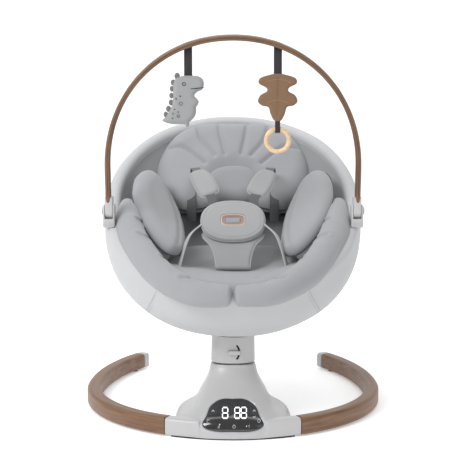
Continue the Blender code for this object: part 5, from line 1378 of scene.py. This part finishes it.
cover_outline = oval_outline(BUCKLE_HALF_WIDTH - 0.001, BUCKLE_HALF_LENGTH - 0.001, 2.35)
inner_line = oval_outline(BUCKLE_HALF_WIDTH - 0.008, BUCKLE_HALF_LENGTH - 0.008, 2.35)
inner_line.append(inner_line[0])
cover = puffed("cover", cover_outline, on_buckle, PAD_HALF_THICKNESS, PAD_HALF_THICKNESS - 0.0005, 0.007,
               0.0016, press=pulled([inner_line], 0.0016, 0.0011))
window = oval_outline(WINDOW_HALF_WIDTH, WINDOW_HALF_LENGTH, 4.0, 48)
cover = cut_with(cover, "cover", "DIFFERENCE",
                 skin_of_rings("window", [[on_buckle(x, y, z) for x, y in window] for z in (-0.02, 0.02)]))
cushion("buckle_pad", cover, "buckle_cover", PAD_CLOTH, 60)
stitched("cover_stitches", [[on_buckle(x, y, PAD_HALF_THICKNESS - 0.0012) for x, y in inner_line]], "seat",
         "cushion", pitch=0.0026, length=0.0018, thickness=0.00022)
edge_piping("cover_welt", oval_outline(BUCKLE_HALF_WIDTH - 0.0016, BUCKLE_HALF_LENGTH - 0.0016, 2.35),
            on_buckle, 0.0, 0.0016, 0.003, WELT_CLOTH)
FRAME_PLASTIC = moulded("frame_plastic", colour(196, 172, 156), 0.4)
frame_outer = oval_outline(WINDOW_HALF_WIDTH - 0.0003, WINDOW_HALF_LENGTH - 0.0003, 4.0, 48)
frame_inner = oval_outline(WINDOW_HALF_WIDTH - 0.0030, WINDOW_HALF_LENGTH - 0.0030, 4.0, 48)
frame_rings = [[on_buckle(x, y, z) for x, y in outline] for outline, z in
               ((frame_outer, 0.0005), (frame_outer, 0.0058), (frame_inner, 0.0066), (frame_inner, 0.0005))]
piece("window_frame", skin_of_rings("window_frame", frame_rings, closed=True), FRAME_PLASTIC, "seat",
      "buckle", smooth=35)
dress("buckle_body", moulded("buckle_plastic", colour(150, 132, 122), 0.5))
BUTTON_GREY = moulded("button_grey", colour(150, 150, 153), 0.35)
button_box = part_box("buckle_button")
button_middle = BUCKLE_PLACE.inverted() @ ((button_box[0] + button_box[1]) / 2)
button_top = puffed("button", oval_outline(0.0150, 0.0070, 4.0, 48),
                    lambda u, v, h: on_buckle(u, v + button_middle.y, button_middle.z + h),
                    0.0028, 0.0020, 0.003, 0.0012)
piece("press_button", button_top, BUTTON_GREY, "buckle_release", "buckle", "buckle_button", smooth=50)

# Crotch pad: flares out under the cover, narrow at the seat, with a corded edge each side
crotch_start = BUCKLE_PLACE @ Vector((0, -0.012, -0.0135))
crotch_end = HOOP_TURN @ Vector((0, -0.152, -0.054))
crotch_knots = [crotch_start, crotch_start.lerp(crotch_end, 0.45) + Vector((0, -0.006, 0.001)), crotch_end]
crotch_line = spline_through(crotch_knots, per_span=20, closed=False)


def on_crotch(u, t, h):
    """t runs 0 to 1 down the pad."""
    where = min(max(t, 0.0), 1.0) * (len(crotch_line) - 1)
    i = min(int(where), len(crotch_line) - 2)
    point = crotch_line[i].lerp(crotch_line[i + 1], where - i)
    down = (crotch_line[i + 1] - crotch_line[i]).normalized()
    face = Vector((1, 0, 0)).cross(down)
    face = face if face.y < 0 else -face
    return point + Vector((u, 0, 0)) + face * h


CROTCH_LENGTH = sum((b - a).length for a, b in zip(crotch_line, crotch_line[1:]))
CROTCH_HALF = [(0.0, 0.0), (0.056, 0.004), (0.060, 0.020), (0.044, 0.042), (0.036, 0.066), (0.0335, 0.090)]
crotch_outline = [(x, y) for x, y in spline_through(CROTCH_HALF + [(0.033, CROTCH_LENGTH)], closed=False)]
crotch_outline += [(-x, y) for x, y in reversed(crotch_outline[1:])]
crotch = puffed("crotch", crotch_outline, lambda u, v, h: on_crotch(u, v / CROTCH_LENGTH, h),
                0.006, 0.005, 0.007, 0.0022)
cushion("leg_pad", cloth_waves(crotch, 30.0, 0.0008), "crotch_pad", PAD_CLOTH)
crotch_edge = [(x, y) for x, y in crotch_outline if 0.012 < y < CROTCH_LENGTH - 0.001]
for side_name, side in SIDES:
    edge = [on_crotch(x - side * 0.0006, y / CROTCH_LENGTH, 0.002) for x, y in crotch_edge if x * side > 0]
    piece(side_name + "_leg_welt", swept("welt", edge, cord_section(0.0019), up=(0, -1, 0.2)), WELT_CLOTH,
          "seat", "cushion", smooth=None)


def ribbon(name, knots, width, thickness, up, per_span=14):
    """A woven strap laid along knots; its face looks along up."""
    path = spline_through(knots, per_span, closed=False)
    return swept(name, path, rounded_section(width, thickness, thickness * 0.45, 3), up=up)


BAND_WIDTH, BAND_THICKNESS = 0.019, 0.0016
BAND_KNOTS = ((0.086, 0.150, -0.034), (0.087, 0.105, -0.036), (0.087, 0.066, -0.048), (0.087, 0.046, -0.082))
shoulder_outline = spline_through([(-0.042, -0.013), (-0.043, 0.010), (-0.026, 0.020), (0.016, 0.023),
                                   (0.041, 0.017), (0.044, -0.014), (0.020, -0.021), (-0.020, -0.019)])
for side_name, side in SIDES:
    start = BUCKLE_PLACE @ Vector((side * 0.062, -0.004, -0.004))
    end = HOOP_TURN @ Vector((side * 0.112, -0.176, -0.058))
    bend = start.lerp(end, 0.35) + Vector((side * 0.010, -0.002, 0.008))
    piece(side_name + "_belt", ribbon("belt", [start, bend, end], 0.018, 0.0032, (side * 0.9, -0.25, 0.35)),
          WELT_CLOTH, "seat", "webbing", side_name + "_waist_strap", smooth=50)
    band = [HOOP_TURN @ Vector((side * u, v, z)) for u, v, z in BAND_KNOTS]
    piece(side_name + "_band", ribbon("band", band, BAND_WIDTH, BAND_THICKNESS, (0, -0.6, 0.8)), WEBBING,
          "seat", "webbing", smooth=50)
    high, low = Vector((side * 0.076, 0.058, 0.470)), Vector((side * 0.046, -0.014, 0.426))
    along = (low - high).normalized()
    face = Vector((0, -0.74, 0.67))
    face = (face - along * face.dot(along)).normalized()
    across = along.cross(face) * side
    middle = (high + low) / 2
    upper = [high + along * 0.012, high + Vector((side * 0.004, 0.046, 0.001)),
             HOOP_TURN @ Vector((side * 0.082, 0.150, -0.045))]
    lower = [low - along * 0.012, low + along * 0.006, BUCKLE_PLACE @ Vector((side * 0.040, 0.038, -0.004))]
    for end_name, knots in (("upper", upper), ("lower", lower)):
        strap = ribbon("strap", knots, BAND_WIDTH, BAND_THICKNESS, (0, -0.5, 0.86))
        piece(side_name + "_" + end_name + "_shoulder_strap", strap, WEBBING, "seat", "webbing", smooth=50)

    def on_shoulder(a, b, h):
        return middle + along * a + across * b + face * (h - 1.5 * a * a)

    pad = puffed("shoulder_pad", shoulder_outline, on_shoulder, 0.007, 0.005, 0.009, 0.002)
    cushion(side_name + "_strap_pad", cloth_waves(pad, 40.0 + side, 0.0006), side_name + "_shoulder_pad",
            PAD_CLOTH)
    edge_piping(side_name + "_pad_welt", shoulder_outline, on_shoulder, 0.0, 0.0014, 0.003, WELT_CLOTH)


# ------------------------------------------------------------------ hanging toys
# Two flat plush toys hang from the bar on black webbing: a dinosaur in grey plush and a leaf in brown felt.
# A turned beech ring hangs under the leaf. Eyes, spots and the leaf's veins are sewn.
BLACK_WEBBING = knitted("black_webbing", colour(50, 48, 50), 2200.0, 0.0002, 0.2)
PLUSH = knitted("grey_plush", colour(150, 151, 152), 1300.0, 0.0006, 0.22, 0.6)
FELT = knitted("brown_felt", colour(126, 98, 74), 1500.0, 0.0004, 0.16, 0.4)
SEWN_DARK = knitted("sewn_dark", colour(58, 58, 60), 1500.0, 0.0002, 0.1)
TOY_Y = (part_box("dino_toy")[0].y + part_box("dino_toy")[1].y) / 2
TOY_ORIGIN_Z = 0.670
DINO_HALF_THICKNESS = 0.0078
LEAF_HALF_THICKNESS = 0.0047


def on_toy(centre_x):
    return lambda u, v, h: Vector((centre_x + u, TOY_Y - h, TOY_ORIGIN_Z + v))


def in_millimetres(points):
    return [(x / 1000, y / 1000) for x, y in points]


# Straps: webbing sewn into each toy and folded over a pin inside the bar; a loop of it holds the ring
def hanging_strap(name, node, body, foot_z):
    low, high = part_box(node)
    middle = (low + high) / 2
    half_width = STRAP_WIDTH / 2
    mesh = bevelled_box(name, (middle.x - half_width, middle.y - 0.0008, foot_z),
                        (middle.x + half_width, middle.y + 0.0008, high.z), 0.0004, 2)
    piece(name, mesh, BLACK_WEBBING, body, "strap", node, smooth=40)
    rows = [[Vector((middle.x + x, middle.y - 0.0009, z))
             for z in np.linspace(foot_z + 0.006, high.z - 0.018, 12)]
            for x in (-half_width + 0.0016, half_width - 0.0016)]
    stitched(name + "_stitches", rows, body, "strap", BLACK_THREAD, 0.0022, 0.0015, 0.0002)


hanging_strap("dinosaur_strap", "dino_strap", "dino", TOY_ORIGIN_Z - 0.010)
hanging_strap("leaf_hanger", "leaf_strap", "leaf", TOY_ORIGIN_Z - 0.006)
DINO_OUTLINE = [(-23, -9), (-16, -6), (-7, -4), (7, -4), (19, -5), (27, -10), (30, -18), (29, -26), (26, -31),
                (19, -34), (13, -39), (12, -43), (16, -47), (20, -53), (18, -60), (15, -64), (15, -73),
                (12, -82), (6, -89), (2, -93), (1, -100), (-4, -102), (-7, -97), (-16, -96.5), (-33, -96),
                (-50, -90),
                (-43, -82), (-37, -72), (-31, -59), (-29, -44), (-29, -30), (-28, -18)]
dino = puffed("dino", spline_through(in_millimetres(DINO_OUTLINE), per_span=5), on_toy(-TOY_X),
              DINO_HALF_THICKNESS, DINO_HALF_THICKNESS, 0.010, 0.0013)
piece("plush_dinosaur", dino, PLUSH, "dino", "plush", "dino_toy", smooth=None)
SPIKES = ((-21, -5, 5.2), (-29, -17, 4.6), (-31, -29, 4.4), (-32, -42, 4.4), (-33, -55, 4.6), (-38, -67, 4.8),
          (-43, -78, 4.6))
DARK_PLUSH = knitted("dark_plush", colour(110, 110, 112), 1300.0, 0.0006, 0.22, 0.6)
for i, (x, y, radius) in enumerate(SPIKES):
    spike = in_millimetres([(x + a, y + 1.25 * b) for a, b in circle(32, radius)])
    piece("felt_spike_%d" % (i + 1), puffed("spike", spike, on_toy(-TOY_X), 0.0024, 0.0024, 0.003, 0.0011),
          DARK_PLUSH, "dino", "plush", smooth=None)
LEAF_RIGHT = [(0, 0), (18, -3), (34, -9), (36, -19), (22, -27), (21, -34), (33, -41), (38, -53), (30, -61),
              (18, -64), (14, -76), (8, -88), (0, -92)]
leaf_outline = spline_through(in_millimetres(both_sides(LEAF_RIGHT)), per_span=5)
leaf = puffed("leaf", leaf_outline, on_toy(TOY_X), LEAF_HALF_THICKNESS, LEAF_HALF_THICKNESS, 0.006, 0.0012,
              press=pulled([in_millimetres([(0, -8), (0, -82)])], 0.0012, 0.0012))
piece("felt_leaf", leaf, FELT, "leaf", "leaf", "leaf_toy", smooth=None)
VEIN_THREAD = knitted("vein_thread", colour(150, 124, 94), 1500.0, 0.0002, 0.1)
for i, knots in enumerate((((0, -8), (0, -40), (0, -70)),
                           ((-24, -17), (-12, -12.5), (0, -11), (12, -12.5), (24, -17)),
                           ((-22, -57), (-11, -52), (0, -50.5), (11, -52), (22, -57)))):
    vein = [Vector((x / 1000 + TOY_X, TOY_Y - 0.0046, y / 1000 + TOY_ORIGIN_Z))
            for x, y in [tuple(p) for p in spline_through(knots, per_span=8, closed=False)]]
    piece("leaf_vein_%d" % (i + 1), swept("vein", vein, cord_section(0.0005, 3), up=(0, 1, 0)), VEIN_THREAD,
          "leaf", "leaf", smooth=None)


def sewn_spot(centre, radius, lift=0.0081, ring=0.0):
    """A small sewn dot or ring on the dinosaur's front."""
    x, y = centre[0] / 1000 - TOY_X, centre[1] / 1000 + TOY_ORIGIN_Z
    path = [Vector((x + a, TOY_Y - lift, y + b)) for a, b in circle(20, radius)]
    if ring:
        return swept("ring", path, cord_section(ring, 3), up=(0, 1, 0), closed=True)
    return skin_of_rings("dot", [path, [p + Vector((0, 0.002, 0)) for p in path]])


spots = [sewn_spot((-8, -20), 0.0030, ring=0.0006), sewn_spot((-15, -43), 0.0015),
         sewn_spot((-23, -48), 0.0016, ring=0.0003), sewn_spot((-14, -57), 0.0032, ring=0.0004),
         sewn_spot((-26, -68), 0.0013), sewn_spot((-19, -73), 0.0013),
         sewn_spot((-29, -76), 0.0014, 0.0079, 0.0003), sewn_spot((-19, -81), 0.0025, ring=0.0004),
         sewn_spot((-30, -85), 0.0014, 0.0078)]
for i, spot in enumerate(spots):
    piece("sewn_spot_%d" % (i + 1), spot, SEWN_DARK, "dino", "plush", smooth=40)
mouth = [Vector((x / 1000 - TOY_X, TOY_Y - lift, y / 1000 + TOY_ORIGIN_Z))
         for x, y, lift in ((29.6, -27, 0.0010), (28, -27.2, 0.0050), (25, -27.5, 0.0072), (20, -28, 0.0079),
                            (5, -29, 0.0080))]
piece("sewn_mouth", swept("mouth", mouth, cord_section(0.0008, 3, 0.75), up=(0, 1, 0)), SEWN_DARK, "dino",
      "plush", smooth=None)
RING_LOW, RING_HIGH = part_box("wooden_ring")
BEECH = walnut("beech", (0, 0, 0), (0, 0, 0), colour(232, 206, 170), colour(206, 174, 134))
ring_middle = (RING_LOW + RING_HIGH) / 2
ring_outer = (RING_HIGH.x - RING_LOW.x) / 2
ring_tube = (RING_HIGH.y - RING_LOW.y) / 2
ring_path = [ring_middle + Vector((x, 0, z)) * (ring_outer - ring_tube) for x, z in circle(96)]
piece("beech_ring", swept("beech_ring", ring_path, cord_section(ring_tube, 1), up=(0, 1, 0), closed=True),
      BEECH, "ring", "beech", "wooden_ring", smooth=None)
loop_knots = [(0.0, TOY_ORIGIN_Z - 0.0855), (-0.0030, 0.576), (-0.0056, 0.566), (-0.0052, 0.5605),
              (0.0, 0.5572), (0.0052, 0.5605), (0.0056, 0.566), (0.0030, 0.576)]
loop = [Vector((ring_middle.x, ring_middle.y + y, z)) for y, z in loop_knots]
ring_loop = swept("ring_loop", spline_through(loop, per_span=6), rounded_section(0.0014, 0.0095, 0.0004, 2),
                  up=(1, 0, 0), closed=True)
piece("ring_loop", ring_loop, BLACK_WEBBING, "ring", "strap", "ring_strap", smooth=50)


# ------------------------------------------------------------------ floor, light and camera
# A plain pale floor that turns up into a backdrop, a large soft key from the upper left and a fill.
def backdrop_mesh():
    profile = [(-6.0, 0.0), (3.0, 0.0)]
    for k in range(1, 13):
        turn = math.pi / 2 * k / 12
        profile.append((3.0 + 1.2 * math.sin(turn), 1.2 * (1 - math.cos(turn))))
    profile.append((4.2, 6.0))

    def build(shape):
        rows = [[shape.verts.new((x, y, z)) for y, z in profile] for x in (-6.0, 6.0)]
        for i in range(len(profile) - 1):
            shape.faces.new((rows[0][i], rows[1][i], rows[1][i + 1], rows[0][i + 1]))

    return mesh_of("backdrop", build)


floor_mesh = backdrop_mesh()
floor_mesh.materials.append(principled("floor", 0.9, Base_Color=(0.90, 0.90, 0.90, 1.0),
                                       Emission_Color=(1.0, 1.0, 1.0, 1.0), Emission_Strength=0.32)[0])
floor_mesh.shade_smooth()
floor = placed("floor", floor_mesh)


def soft_light(name, place, aim, size, power):
    lamp = bpy.data.lights.new(name, "AREA")
    lamp.shape = "RECTANGLE"
    lamp.size, lamp.size_y = size
    lamp.energy = power
    holder = placed(name, lamp)
    holder.location = place
    holder.rotation_euler = (Vector(aim) - Vector(place)).to_track_quat("-Z", "Y").to_euler()


soft_light("key", (-1.9, -1.8, 2.5), (0, 0, 0.35), (1.5, 1.5), 70)
soft_light("fill", (2.2, -2.2, 1.6), (0, 0, 0.35), (2.2, 2.2), 10)
soft_light("top", (0, 0.4, 3.0), (0, 0, 0.3), (2.6, 2.0), 34)
world = bpy.data.worlds.new("studio")
world.use_nodes = True
world.node_tree.nodes["Background"].inputs["Color"].default_value = (1.0, 1.0, 1.0, 1.0)
world.node_tree.nodes["Background"].inputs["Strength"].default_value = 0.50
bpy.context.scene.world = world
lens = bpy.data.cameras.new("camera")
lens.lens = 96.1
lens.sensor_width = 36.0
lens.dof.use_dof = False
camera = placed("camera", lens)
camera.location = (0, -2.517, 0.678)
camera.rotation_euler = (math.radians(90 - 7.5), 0, 0)
bpy.context.scene.camera = camera
bpy.context.scene.view_settings.view_transform = "Standard"
